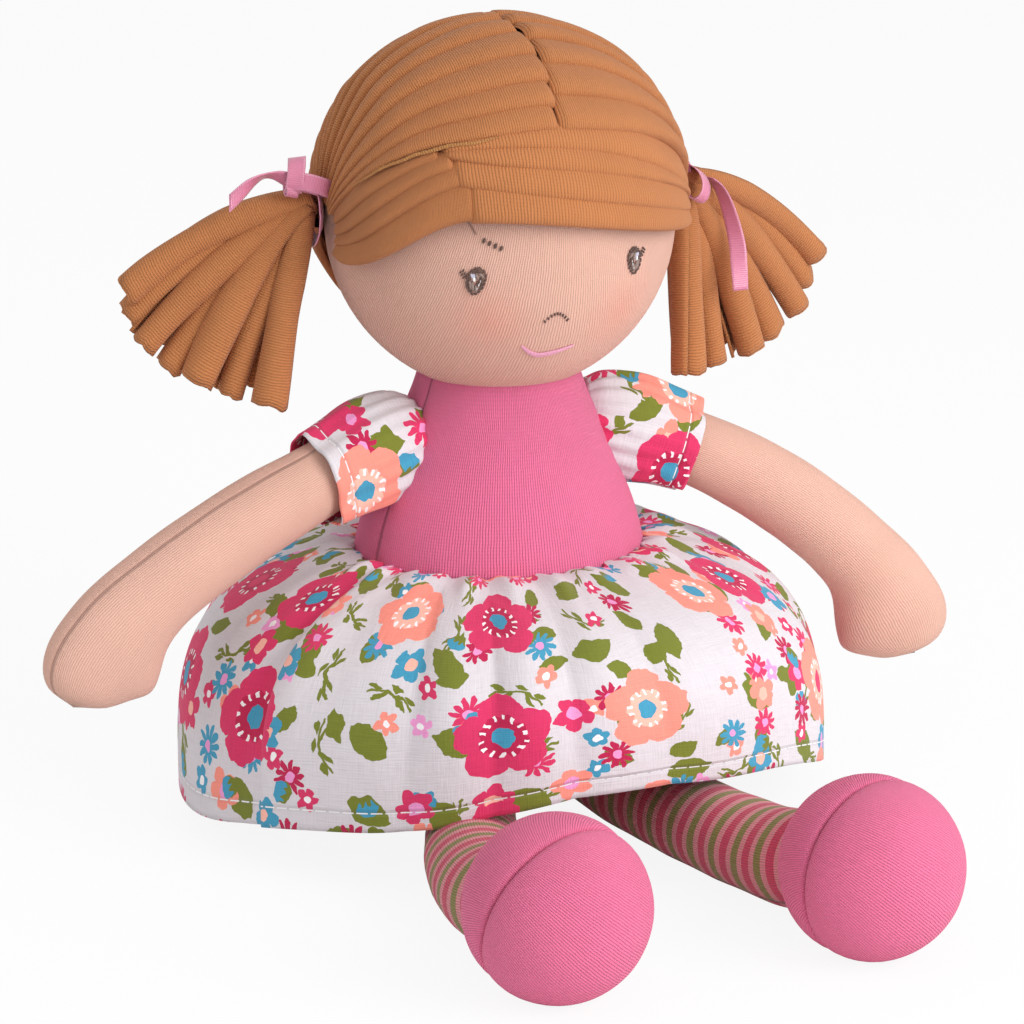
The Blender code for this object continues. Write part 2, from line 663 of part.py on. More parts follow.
def make_arm(side, sign):
    cover = add_piece("arm_cover_" + side, arm_cage(side, sign), SKIN)
    places, _ = arm_path(side, sign)
    root, along = places[0]
    subdivide(cover)
    give_wall(cover, JERSEY_WALL)
    mouth = rod(root - along * OVERRUN, root - along * ARM_ROOT_RADIUS * 0.5, ARM_ROOT_RADIUS * 0.3, 7)
    boolean(cover, add_cutter("arm_mouth_" + side, mouth))
    stuffing = add_piece("arm_stuffing_" + side, arm_cage(side, sign), FIBRE_WHITE)
    subdivide(stuffing)
    shrink(stuffing, JERSEY_WALL + SEW_GAP)
    thread_ring("shoulder_stitches_" + side, root, -along, 40, ARM_ROOT_RADIUS + JOINT_GAP / 2)


def make_sleeve(side, sign):
    places, _ = arm_path(side, sign)
    root, along = places[0]
    slope = arm_heading(sign)
    up = Vector((0, 0, 1))
    start = root - slope * SLEEVE_OVERLAP
    end, end_way = places[1]
    end = end + end_way * (SLEEVE_LENGTH - ARM_STATION_SHARES[1] * ARM_LENGTH[side])
    frames = []
    stations = [(start, slope, 0), (root + along * SLEEVE_OVERLAP, along, 0.4), (end, end_way, 1)]
    for centre, way, share in stations:
        radius = SLEEVE_ROOT_RADIUS + (SLEEVE_CUFF_RADIUS - SLEEVE_ROOT_RADIUS) * share
        radius = cage_radius(radius, SLEEVE_SIDES)
        frames.append(ring_frame(centre, way, up, radius, radius))
    sleeve = add_piece("sleeve_" + side, grow_tube(frames, SLEEVE_SIDES, False, False), PRINT_GROUND)
    subdivide(sleeve)
    give_wall(sleeve, COTTON_WALL)
    boolean(sleeve, bpy.data.objects["body_clearance"])


# Legs, stockings and shoes
def leg_places(side):
    """Points and directions from the hip to the toe of a leg that bends sideways and up."""
    to_ankle = LEG_TO_ANKLE[side]
    distances = [share * to_ankle for share in (0, 0.4, 0.8, 0.98)]
    distances += [to_ankle + share * FOOT_RADIUS for share in (0.2, 0.72, 1.3, 1.78)]
    splays = [radians(SIDES[side] * degree) for degree in LEG_SPLAY_DEGREES[side]]
    lifts = [radians(degree) for degree in LEG_LIFT_DEGREES]

    def way(splay, lift):
        return Vector((sin(splay) * cos(lift), -cos(splay) * cos(lift), sin(lift)))

    point = hip_point(SIDES[side])
    places = []
    for index, (splay, lift) in enumerate(zip(splays, lifts)):
        if index:
            mean_splay, mean_lift = (splay + splays[index - 1]) / 2, (lift + lifts[index - 1]) / 2
            point = point + way(mean_splay, mean_lift) * (distances[index] - distances[index - 1])
        places.append((point, way(splay, lift)))
    return places


def leg_frames(side):
    places = leg_places(side)
    up = Vector((0, 0, 1))
    root, along = places[0]
    root_cage = cage_radius(LEG_ROOT_RADIUS, LEG_SIDES)
    frames = []
    for back_share, radius_share in ROOT_RING_SHARES:
        centre = root - along * LEG_ROOT_RADIUS * back_share
        frames.append(ring_frame(centre, along, up, root_cage * radius_share, root_cage * radius_share))
    halves = [
        (LEG_ROOT_RADIUS, LEG_ROOT_RADIUS),
        (LEG_HALF_HEIGHT * 0.98, LEG_HALF_WIDTH * 0.9),
        (LEG_HALF_HEIGHT, LEG_HALF_WIDTH),
        (LEG_HALF_HEIGHT * 1.1, LEG_HALF_WIDTH),
    ]
    halves += [(share * FOOT_RADIUS, share * FOOT_RADIUS) for share in (0.84, 1.07, 1.02, 0.62)]
    for (centre, along), (tall, thick) in zip(places, halves):
        tall, thick = cage_radius(tall, LEG_SIDES), cage_radius(thick, LEG_SIDES)
        frames.append(ring_frame(centre, along, up, tall, thick))
    return frames


def make_leg(side, sign):
    places = leg_places(side)
    root, along = places[0]
    ankle, ankle_way = places[3]
    floor = add_cutter("floor_cut_" + side, slab((-3 * OVERRUN, -4 * OVERRUN, -OVERRUN), (3 * OVERRUN, 0, 0)))

    def block(name, start, end, way, base):
        """A square block from a base point, between two distances, to cut a cover across."""
        shape = slab((-OVERRUN, -OVERRUN, 0), (OVERRUN, OVERRUN, end - start))
        turned = way.to_track_quat("Z", "Y").to_matrix().to_4x4()
        place = Matrix.Translation(base + way * start) @ turned
        bmesh.ops.transform(shape, matrix=place, verts=shape.verts)
        return add_cutter(f"{name}_{side}", shape)

    ball = (places[5][0] + places[6][0]) / 2
    seam_way = SHOE_SEAM_WAY[side].normalized()
    seam = -SHOE_SEAM_BACK
    before = block("before_ankle", -4 * OVERRUN, SEW_GAP, ankle_way, ankle)
    cuts = {
        "stocking": [block("past_ankle", 0, 3 * OVERRUN, ankle_way, ankle)],
        "shoe_heel": [before, block("past_seam", seam, 3 * OVERRUN, seam_way, ball), floor],
        "shoe_toe": [before, block("before_seam", -4 * OVERRUN, seam + SEW_GAP, seam_way, ball), floor],
    }
    colours = {"stocking": STOCKING_ROSE, "shoe_heel": JERSEY_PINK, "shoe_toe": JERSEY_PINK}
    for name, cutters in cuts.items():
        cover = add_piece(f"{name}_{side}", grow_tube(leg_frames(side), LEG_SIDES), colours[name])
        subdivide(cover)
        give_wall(cover, JERSEY_WALL)
        for cutter in cutters:
            boolean(cover, cutter)
    stuffing = add_piece("leg_stuffing_" + side, grow_tube(leg_frames(side), LEG_SIDES), FIBRE_WHITE)
    subdivide(stuffing)
    shrink(stuffing, JERSEY_WALL + SEW_GAP)
    thread_ring("hip_stitches_" + side, root, -along, 40, LEG_ROOT_RADIUS + JOINT_GAP / 2)


# Skirt
def skirt_point(angle, down):
    """Angle round from the front, down from the waist seam (0) to the hem (1)."""
    waist_wide = WAIST_SHARE * BODY_HALF_WIDTH + SEW_GAP + COTTON_WALL
    waist_deep = WAIST_SHARE * BODY_HALF_DEPTH + SEW_GAP + COTTON_WALL
    bend = down * pi / 2
    widen = sin(bend) ** SKIRT_SWELL_SHARES[0]
    drop = cos(bend) ** SKIRT_SWELL_SHARES[1] if down < 1 else 0
    spread = exp(-((angle * 180 / pi / HEM_RISE_SPREAD_DEGREES) ** 2))
    hem = HEM_SIDE_HEIGHT + HEM_FRONT_RISE * spread
    fold = SKIRT_FOLD_DEPTH * down * (cos(SKIRT_FOLDS * angle) + 0.5 * cos(5 * angle + 1)) * 0.7
    wide = waist_wide + (HEM_RADIUS - waist_wide) * widen + fold
    deep = waist_deep + (HEM_RADIUS - waist_deep) * widen + fold
    return Vector((wide * sin(angle), -deep * cos(angle), hem + (WAIST_HEIGHT - hem) * drop))


def make_skirt():
    shape = bmesh.new()
    bmesh.ops.create_circle(shape, segments=SKIRT_COLUMNS, radius=1)
    rows = {v: 0 for v in shape.verts}
    angles = {v: 2 * pi * i / SKIRT_COLUMNS - pi for i, v in enumerate(shape.verts)}
    edges = list(shape.edges)
    for row in range(1, SKIRT_ROWS + 1):
        before = {(round(v.co.x, 5), round(v.co.y, 5)): angles[v] for v in angles if rows[v] == row - 1}
        grown = bmesh.ops.extrude_edge_only(shape, edges=edges)["geom"]
        verts = [part for part in grown if isinstance(part, bmesh.types.BMVert)]
        edges = [e for e in grown if isinstance(e, bmesh.types.BMEdge) and all(v in verts for v in e.verts)]
        for vert in verts:
            angles[vert] = before[(round(vert.co.x, 5), round(vert.co.y, 5))]
            rows[vert] = row
    for vert in shape.verts:
        vert.co = skirt_point(angles[vert], rows[vert] / SKIRT_ROWS)
    skirt = add_piece("skirt", shape, PRINT_GROUND)
    give_wall(skirt, COTTON_WALL)
    boolean(skirt, bpy.data.objects["body_clearance"])


# Joints: an empty on each pivot carries what turns there
def add_joint(name, pivot, prefixes, carrier=None):
    joint = bpy.data.objects.new(name, None)
    joint.empty_display_size = THREAD_RADIUS * 20
    DOLL.objects.link(joint)
    joint.parent = carrier
    joint.location = pivot - carrier.location if carrier else pivot
    for piece in list(DOLL.objects) + list(CUTTERS.objects):
        if piece.type != "EMPTY" and piece.name.startswith(tuple(prefixes)):
            piece.parent = joint
            piece.matrix_parent_inverse = Matrix.Translation(-pivot)
    return joint


DOLL = collection("rag_doll")
CUTTERS = collection("cutters")
make_body()
make_head()
make_hair()
make_face()
make_skirt()
for side_name, side_sign in SIDES.items():
    make_pigtail(side_name, side_sign)
    make_bow(side_name, side_sign)
    make_arm(side_name, side_sign)
    make_sleeve(side_name, side_sign)
    make_leg(side_name, side_sign)
head_parts = ("head", "neck", "hair", "fringe", "eye", "brow", "nose", "mouth", "face")
neck = add_joint("joint_neck", NECK_PIVOT, head_parts)
for side_name, side_sign in SIDES.items():
    tie_parts = [part + side_name for part in ("pigtail_", "strand_")]
    add_joint("joint_tie_" + side_name, tie_point(side_sign), tie_parts, neck)
    add_joint("joint_bow_" + side_name, tie_point(side_sign), ("bow_" + side_name,), neck)
    arm_names = ("arm_cover_", "arm_stuffing_", "arm_mouth_", "sleeve_", "shoulder_stitches_")
    arm_parts = [part + side_name for part in arm_names]
    add_joint("joint_shoulder_" + side_name, shoulder(side_sign), arm_parts)
    leg_names = ("stocking_", "shoe_heel_", "shoe_toe_", "leg_stuffing_")
    leg_parts = [part + side_name for part in leg_names]
    add_joint("joint_hip_" + side_name, hip_point(side_sign), leg_parts)
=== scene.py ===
# A seated rag doll of knitted jersey and printed cotton, stuffed with polyester fibre.
# Each section makes one piece of the doll, in the order in which it is sewn together.
from math import cos, exp, pi, radians, sin, sqrt

import bmesh
import bpy
from mathutils import Matrix, Vector, noise


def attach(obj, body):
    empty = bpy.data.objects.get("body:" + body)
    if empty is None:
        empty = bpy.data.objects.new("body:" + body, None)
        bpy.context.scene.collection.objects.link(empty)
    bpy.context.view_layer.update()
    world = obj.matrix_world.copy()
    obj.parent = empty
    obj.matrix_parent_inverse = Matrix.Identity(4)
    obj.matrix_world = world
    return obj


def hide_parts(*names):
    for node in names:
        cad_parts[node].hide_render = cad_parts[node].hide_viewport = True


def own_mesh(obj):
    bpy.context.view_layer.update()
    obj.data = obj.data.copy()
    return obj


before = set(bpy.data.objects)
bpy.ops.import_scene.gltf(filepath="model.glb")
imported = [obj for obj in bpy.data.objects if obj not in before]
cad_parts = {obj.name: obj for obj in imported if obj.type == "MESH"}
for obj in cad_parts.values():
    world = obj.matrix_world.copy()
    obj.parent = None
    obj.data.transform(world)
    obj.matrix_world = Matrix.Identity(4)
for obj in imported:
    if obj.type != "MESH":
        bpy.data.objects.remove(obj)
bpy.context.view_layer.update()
MM = 0.001
SIDES = {"right": -1, "left": 1}

# The camera stands in front of the doll, a little to its right and above it, just under a
# metre away, as in the photograph. A long lens keeps the shoes from looking large.
AIM = Vector((3.28 * MM, -1.26 * MM, 78 * MM))
CAMERA_DISTANCE, FIELD_WIDTH = 950 * MM, 276.48 * MM
azimuth, elevation = radians(-21), radians(16)
toward = Vector((sin(azimuth) * cos(elevation), -cos(azimuth) * cos(elevation), sin(elevation)))
image_right = Vector((cos(azimuth), sin(azimuth), 0))
image_up = toward.cross(image_right)


def put_in_scene(name, data):
    made = bpy.data.objects.new(name, data)
    bpy.context.scene.collection.objects.link(made)
    return made


lens = bpy.data.cameras.new("camera")
lens.sensor_width = 36
lens.lens = CAMERA_DISTANCE / FIELD_WIDTH * lens.sensor_width
lens.clip_start, lens.clip_end = 0.05, 10
camera = put_in_scene("camera", lens)
camera.location = AIM + toward * CAMERA_DISTANCE
camera.rotation_euler = (-toward).to_track_quat("-Z", "Y").to_euler()
bpy.context.scene.camera = camera
bpy.context.scene.view_settings.view_transform = "Standard"


# The studio is a white table and a white background, lit by one large soft lamp at the right,
# near the camera, and a weaker one at the left.
def add_lamp(name, place, power, size):
    lamp = bpy.data.lights.new(name, "AREA")
    lamp.energy, lamp.size = power, size
    made = put_in_scene(name, lamp)
    made.location = place
    made.rotation_euler = (AIM - place).to_track_quat("-Z", "Y").to_euler()


add_lamp("key_lamp", AIM + image_right * 0.8 + image_up * 0.3 + toward * 0.72, 9.5, 0.7)
add_lamp("fill_lamp", AIM - image_right * 0.8 + image_up * 0.5 + toward * 0.8, 1.7, 0.9)


def feed(tree, socket, value):
    """Gives a socket a link or a plain value."""
    if isinstance(value, bpy.types.NodeSocket):
        tree.links.new(value, socket)
    elif value is not None:
        socket.default_value = value


def node(tree, kind, *feeds, out=0, **settings):
    """A shader node whose inputs, in order, take links or plain values; gives its output."""
    made = tree.nodes.new("ShaderNode" + kind)
    for key, value in settings.items():
        setattr(made, key, value)
    for socket, value in zip(made.inputs, feeds):
        feed(tree, socket, value)
    return made.outputs[out]


def calc(tree, operation, a, b=None, c=None):
    return node(tree, "Math", a, b, c, operation=operation)


def seen_plainly(tree):
    """1 for what the camera sees, also in gloss and through glass, and 0 for what lights the doll."""
    rays = tree.nodes.new("ShaderNodeLightPath").outputs
    seen = calc(tree, "MAXIMUM", rays["Is Camera Ray"], rays["Is Glossy Ray"])
    return calc(tree, "MAXIMUM", seen, rays["Is Transmission Ray"])


world = bpy.data.worlds.new("studio")
world.use_nodes = True
bpy.context.scene.world = world
tree = world.node_tree
ambient = node(tree, "Background", (1, 1, 1, 1), 0.62)
backdrop = node(tree, "Background", (1, 1, 1, 1), 1.0)
shown = node(tree, "MixShader", seen_plainly(tree), ambient, backdrop)
tree.links.new(shown, tree.nodes["World Output"].inputs[0])

table_shape = bmesh.new()
bmesh.ops.create_grid(table_shape, x_segments=1, y_segments=1, size=3)
bmesh.ops.translate(table_shape, verts=table_shape.verts, vec=(0, 0, -0.3 * MM))
table_mesh = bpy.data.meshes.new("table_top")
table_shape.to_mesh(table_mesh)
table_top = put_in_scene("table_top", table_mesh)
white = bpy.data.materials.new("white_table")
white.use_nodes = True
tree = white.node_tree
plain_share = 0.9
painted = node(tree, "BsdfDiffuse", (0.93, 0.93, 0.93, 1), 0)
glowing = node(tree, "Emission", (1, 1, 1, 1), 1.0)
shown = node(tree, "MixShader", calc(tree, "MULTIPLY", seen_plainly(tree), plain_share), painted, glowing)
tree.links.new(shown, tree.nodes["Material Output"].inputs[0])
table_mesh.materials.append(white)


# The bodice is a bell-shaped bag of pink cotton jersey, sewn at its sides and filled with fibre.
# Its top is a ball on which the head turns, and its base is flat where the doll sits.
def srgb(red, green, blue):
    """A colour as seen on a screen, made linear for the shader."""
    return (*(((c / 255 + 0.055) / 1.055) ** 2.4 for c in (red, green, blue)), 1)


def mix(tree, share, a, b, blend="MIX"):
    """Colour b over colour a by a share."""
    made = tree.nodes.new("ShaderNodeMix")
    made.data_type, made.blend_type = "RGBA", blend
    for place, value in ((0, share), (6, a), (7, b)):
        feed(tree, made.inputs[place], value)
    return made.outputs[2]


def shade(tree, colour, light):
    """A colour made darker or lighter by a factor."""
    return mix(tree, 1.0, colour, node(tree, "CombineColor", light, light, light), "MULTIPLY")


def fade(tree, ratio):
    """1 at a ratio of 0, down to 0 at a ratio of 1 and past it."""
    return calc(tree, "SUBTRACT", 1, calc(tree, "MINIMUM", ratio, 1))


def split(tree, value, kind="XYZ"):
    parts = tree.nodes.new("ShaderNodeSeparate" + kind)
    tree.links.new(value, parts.inputs[0])
    return parts.outputs


def new_group(name, inputs, outputs):
    """A node group with named sockets; gives the group, what comes in and what goes out."""
    group = bpy.data.node_groups.new(name, "ShaderNodeTree")
    for label, (kind, value) in inputs.items():
        socket = group.interface.new_socket(label, in_out="INPUT", socket_type="NodeSocket" + kind)
        if value is not None:
            socket.default_value = value
    for label, kind in outputs.items():
        group.interface.new_socket(label, in_out="OUTPUT", socket_type="NodeSocket" + kind)
    return group, group.nodes.new("NodeGroupInput").outputs, group.nodes.new("NodeGroupOutput").inputs


def make_knit_group():
    """Columns of V-shaped loops: x runs across the columns and y along them, in metres."""
    sizes = {"Place": ("Vector", None), "Column": ("Float", 0.0008), "Loop": ("Float", 0.0009)}
    group, given, result = new_group("knit_loops", sizes, {"Height": "Float", "Shade": "Float"})
    wander = node(group, "TexNoise", given["Place"], None, 260, 2)
    wander = calc(group, "MULTIPLY_ADD", wander, 0.0005, -0.00025)
    parts = split(group, given["Place"])
    across = calc(group, "DIVIDE", calc(group, "ADD", parts[0], wander), given["Column"])
    from_middle = calc(group, "ABSOLUTE", calc(group, "SUBTRACT", calc(group, "FRACT", across), 0.5))
    from_middle = calc(group, "MULTIPLY", from_middle, 2)
    along = calc(group, "DIVIDE", parts[1], given["Loop"])
    along = calc(group, "FRACT", calc(group, "MULTIPLY_ADD", from_middle, -0.5, along))
    loop = calc(group, "SUBTRACT", 1, calc(group, "ABSOLUTE", calc(group, "MULTIPLY_ADD", along, 2, -1)))
    column = calc(group, "SUBTRACT", 1, calc(group, "POWER", from_middle, 2))
    height = calc(group, "MULTIPLY", column, calc(group, "MULTIPLY_ADD", loop, 0.3, 0.7))
    fuzz = node(group, "TexNoise", given["Place"], None, 3400, 2)
    height = calc(group, "MULTIPLY_ADD", fuzz, 0.5, height)
    group.links.new(height, result["Height"])
    group.links.new(calc(group, "MULTIPLY", height, 0.8), result["Shade"])
    return group


def make_crease_group():
    """A sewn seam along a line, from the distance to it in metres: a groove darkened with painted shade, and
    small puckers.
    """
    sizes = {"Away": ("Float", 1.0), "Along": ("Float", 0.0), "Half Width": ("Float", 0.0008)}
    group, given, result = new_group("sewn_seam", sizes, {"Painted Shade": "Float", "Depth": "Float"})
    ratio = calc(group, "DIVIDE", calc(group, "ABSOLUTE", given["Away"]), given["Half Width"])
    dark = fade(group, ratio)
    pucker = calc(group, "SINE", calc(group, "MULTIPLY", given["Along"], 1900))
    near = fade(group, calc(group, "MULTIPLY", ratio, 0.25))
    pull = calc(group, "MULTIPLY", near, calc(group, "MULTIPLY_ADD", pucker, 0.18, 0.3))
    group.links.new(dark, result["Painted Shade"])
    group.links.new(calc(group, "ADD", calc(group, "POWER", dark, 0.6), pull), result["Depth"])
    return group


KNIT = make_knit_group()
SEAM = make_crease_group()


def use_group(tree, group, **feeds):
    made = tree.nodes.new("ShaderNodeGroup")
    made.node_tree = group
    for name, value in feeds.items():
        feed(tree, made.inputs[name], value)
    return made.outputs


def new_cloth(name, roughness, sheen, gloss=0.25, sheen_roughness=0.5):
    made = bpy.data.materials.new(name)
    made.use_nodes = True
    sockets = made.node_tree.nodes["Principled BSDF"].inputs
    sockets["Roughness"].default_value = roughness
    sockets["Specular IOR Level"].default_value = gloss
    sockets["Sheen Weight"].default_value = sheen
    sockets["Sheen Roughness"].default_value = sheen_roughness
    return made, made.node_tree


def finish_cloth(made, shown, height, depth):
    """Joins a cloth's colour to its shader, and a bump that is depth metres deep."""
    tree = made.node_tree
    sockets = tree.nodes["Principled BSDF"].inputs
    bump = tree.nodes.new("ShaderNodeBump")
    bump.inputs["Strength"].default_value = 1.0
    bump.inputs["Distance"].default_value = depth
    tree.links.new(height, bump.inputs["Height"])
    tree.links.new(bump.outputs[0], sockets["Normal"])
    tree.links.new(shown, sockets["Base Color"])
    return made


def place_by(tree, kind):
    """Where a point lies, on the piece's UV map or in the doll's own space."""
    return tree.nodes.new("ShaderNodeTexCoord").outputs[kind]


def sew_seam(tree, parts, at, shown, height, share=0.5, dark=(0.12, 0.03, 0.03, 1)):
    """Adds a seam at a place across the UV map to a colour and a height; its groove gets painted shade."""
    seam = use_group(tree, SEAM, Away=calc(tree, "SUBTRACT", parts[0], at), Along=parts[1])
    # The seam's groove is darkened towards the dark colour: painted shade.
    shown = mix(tree, calc(tree, "MULTIPLY", seam["Painted Shade"], share), shown, dark)
    return shown, calc(tree, "MULTIPLY_ADD", seam["Depth"], -3.0, height)


def jersey(name, colour, column, loop, depth, seams=(), tint=None, contrast=0.3):
    """Knitted cloth of one colour, from a UV map in metres; seams are places across that map."""
    made, tree = new_cloth(name, 0.92, 0.1)
    place, object_place = place_by(tree, "UV"), place_by(tree, "Object")
    knit = use_group(tree, KNIT, Place=place, Column=column, Loop=loop)
    patches = node(tree, "TexNoise", object_place, None, 60, 3)
    light = calc(tree, "MULTIPLY_ADD", knit["Shade"], contrast, 1 - 0.85 * contrast)
    light = calc(tree, "MULTIPLY", light, calc(tree, "MULTIPLY_ADD", patches, 0.16, 0.95))
    shown, height = shade(tree, colour, light), knit["Height"]
    if tint:
        shown = tint(tree, object_place, shown)
    parts = split(tree, place)
    for at in seams:
        shown, height = sew_seam(tree, parts, at, shown, height)
    return finish_cloth(made, shown, height, depth)


def smooth_row(table, share):
    """The sizes at a share of the way, eased between the table's rows; a row starts with its share."""
    last = len(table) - 1
    i = max(0, min(last - 1, sum(row[0] <= share for row in table) - 1))
    a, b = table[i], table[i + 1]
    before, after = table[max(i - 1, 0)], table[min(i + 2, last)]
    width = b[0] - a[0]
    t = (share - a[0]) / width
    found = []
    for k in range(1, len(a)):
        leave = (b[k] - before[k]) / (b[0] - before[0]) * width
        arrive = (after[k] - a[k]) / (after[0] - a[0]) * width
        h = ((2 * t - 3) * t * t + 1, ((t - 2) * t + 1) * t, (3 - 2 * t) * t * t, (t - 1) * t * t)
        found.append(h[0] * a[k] + h[1] * leave + h[2] * b[k] + h[3] * arrive)
    return found


def lay_cloth(shape, across, along, place, chart):
    """Adds a grid of cloth: place(u, v) gives each point and chart(u, v) its UV in metres."""
    layer = shape.loops.layers.uv.verify()
    grid = bmesh.ops.create_grid(shape, x_segments=across, y_segments=along, size=0.5, calc_uvs=True)["verts"]
    shares = {vert: (vert.co.x + 0.5, vert.co.y + 0.5) for vert in grid}
    for face in {face for vert in grid for face in vert.link_faces}:
        for loop in face.loops:
            loop[layer].uv = chart(*shares[loop.vert])
    for vert, (u, v) in shares.items():
        vert.co = place(u, v)
    bmesh.ops.remove_doubles(shape, verts=grid, dist=0.01 * MM)


def add_piece(name, shape, cloth, body, inside=None):
    """A finished piece; an open sheet faces away from the point given as its inside."""
    bmesh.ops.recalc_face_normals(shape, faces=shape.faces)
    if inside is not None:
        facing = sum(f.normal.dot(f.calc_center_median() - inside) * f.calc_area() for f in shape.faces)
        if facing < 0:
            bmesh.ops.reverse_faces(shape, faces=shape.faces)
    mesh = bpy.data.meshes.new(name)
    shape.to_mesh(mesh)
    shape.free()
    mesh.materials.append(cloth)
    mesh.shade_smooth()
    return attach(put_in_scene(name, mesh), body)


def sew_piece(name, across, along, place, chart, cloth, body, inside=None):
    """A finished piece from one grid of cloth."""
    shape = bmesh.new()
    lay_cloth(shape, across, along, place, chart)
    return add_piece(name, shape, cloth, body, inside)


def plain_chart(width, length, shift=0):
    """The UV map of a plain cut of cloth, from its sizes in metres."""
    return lambda u, v: (u * width + shift, v * length)


BODY_TABLE = [
    # share of the way up, height, half width, half depth, how far back the middle lies
    (0.00, 0, 0, 0, 5.3), (0.07, 0, 17.6, 14.4, 5.3), (0.15, 0.25, 27.6, 23.0, 6.1),
    (0.24, 8.6, 37.6, 30.4, 5.5), (0.40, 29.2, 41.8, 36.3, 1.5), (0.56, 54, 42.1, 37.7, 0),
    (0.70, 77.8, 37.8, 33.6, 0), (0.80, 96.1, 30.6, 27.8, 0), (0.88, 111.4, 24.0, 24.0, 0),
    (0.94, 124.3, 17.6, 17.6, 0), (1.00, 131.6, 0, 0, 0),
]
BODY_GIRTH, BODY_LENGTH = 250 * MM, 175 * MM
SIDE_SEAM = radians(76)


def body_point(u, v):
    height, wide, deep, back = smooth_row(BODY_TABLE, v)
    turn = 2 * pi * (u - 0.25)
    pinch = 1 - 0.014 * exp(-(((abs(turn) - SIDE_SEAM) / 0.05) ** 2))
    return Vector((wide * sin(turn) * pinch, back - deep * cos(turn) * pinch, max(0, height))) * MM


seams = [(0.25 + way * SIDE_SEAM / (2 * pi)) * BODY_GIRTH for way in (-1, 1)]
bodice_pink = srgb(236, 116, 157)
bodice_cloth = jersey("bodice_jersey", bodice_pink, 0.8 * MM, 0.85 * MM, 0.3 * MM, seams, contrast=0.36)
bodice_chart = plain_chart(BODY_GIRTH, BODY_LENGTH)
bodice = sew_piece("bodice", 96, 72, body_point, bodice_chart, bodice_cloth, "body")
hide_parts("body_front", "body_back", "body_stuffing")

# The head is a ball of skin-coloured jersey, filled firmly and sewn to the neck by hand. The
# columns of the knit run up and down it, and the cheeks are lightly coloured.
HEAD = Vector((0, -1 * MM, 159.5 * MM))
FACE_RADIUS = 46.5
HEAD_RADIUS = FACE_RADIUS * MM
HEAD_DEPTH = 0.965
SKIN = srgb(225, 178, 160)


def on_head(azimuth_degrees, elevation_degrees, rise=0.0):
    """A point over the head: degrees round from the front, degrees up and metres out."""
    turn, up = radians(azimuth_degrees), radians(elevation_degrees)
    way = Vector((sin(turn) * cos(up), -cos(turn) * cos(up) * HEAD_DEPTH, sin(up)))
    return HEAD + way * (HEAD_RADIUS + rise)


def blush_and_dart_shade(tree, place, shown):
    """Soft colour round the cheeks, and painted shade along the line of a short dart in the forehead."""
    for azimuth_degrees in (-24, 28):
        cheek = on_head(azimuth_degrees, -25)
        away = node(tree, "VectorMath", place, tuple(cheek), out=1, operation="DISTANCE")
        near = fade(tree, calc(tree, "DIVIDE", away, 15 * MM))
        share = calc(tree, "MULTIPLY", calc(tree, "POWER", near, 1.3), 0.36)
        shown = mix(tree, share, shown, srgb(234, 142, 124))
    # The dart's dark line is painted shade in its fold.
    top, end = face_place(-25.5, 9.5, 0), face_place(-22.5, 4.2, 0)
    along = (end - top).normalized()
    past = node(tree, "VectorMath", place, tuple(top), operation="SUBTRACT")
    reach = node(tree, "VectorMath", past, tuple(along), out=1, operation="DOT_PRODUCT")
    reach = node(tree, "Clamp", reach, 0, (end - top).length)
    closest = node(tree, "VectorMath", tuple(along), operation="SCALE")
    tree.links.new(reach, tree.nodes[-1].inputs["Scale"])
    away = node(tree, "VectorMath", past, closest, out=1, operation="DISTANCE")
    near = fade(tree, calc(tree, "DIVIDE", away, 0.55 * MM))
    return mix(tree, calc(tree, "MULTIPLY", near, 0.75), shown, srgb(112, 74, 60))


def face_place(x, y, rise=0.25):
    """A point over the face, x to the doll's left and y up from its middle, in millimetres."""
    up = y / FACE_RADIUS
    return on_head(x / (FACE_RADIUS * cos(up)) * 180 / pi, up * 180 / pi, rise * MM)


def head_point(u, v):
    return on_head(u * 360 - 180, v * 180 - 90)


def head_chart(u, v):
    """The knit's columns fan out from the top of the head down over the face."""
    turn, up = (u - 0.5) * 2 * pi, (v - 0.5) * pi
    return turn * cos(up) * HEAD_RADIUS / (1 - 0.6 * sin(up)), v * pi * HEAD_RADIUS


skin_cloth = jersey("face_jersey", SKIN, 0.6 * MM, 0.64 * MM, 0.22 * MM, tint=blush_and_dart_shade)
head = sew_piece("head", 96, 48, head_point, head_chart, skin_cloth, "head")
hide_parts("head_cover", "head_stuffing", "neck_stitches")


# The face is embroidered through the jersey with a few stitches: two eyes with a light in each
# and three lashes, one brow, a nose and a smile. The other brow is under the fringe.
def thread_cloth(name, colour):
    made, tree = new_cloth(name, 0.6, 0.2)
    strands = node(tree, "TexNoise", place_by(tree, "Object"), None, 2600, 3)
    light = calc(tree, "MULTIPLY_ADD", strands, 0.7, 0.62)
    return finish_cloth(made, shade(tree, colour, light), strands, 0.15 * MM)


def add_stitch(shape, start, end, radius):
    """One stitch: a short plump thread between two points."""
    length = (end - start).length
    made = bmesh.ops.create_uvsphere(shape, u_segments=8, v_segments=6, radius=1)["verts"]
    size = Matrix.Diagonal((radius, radius, length / 2 + radius * 0.6, 1))
    turn = (end - start).to_track_quat("Z", "Y").to_matrix().to_4x4()
    bmesh.ops.transform(shape, matrix=Matrix.Translation((start + end) / 2) @ turn @ size, verts=made)


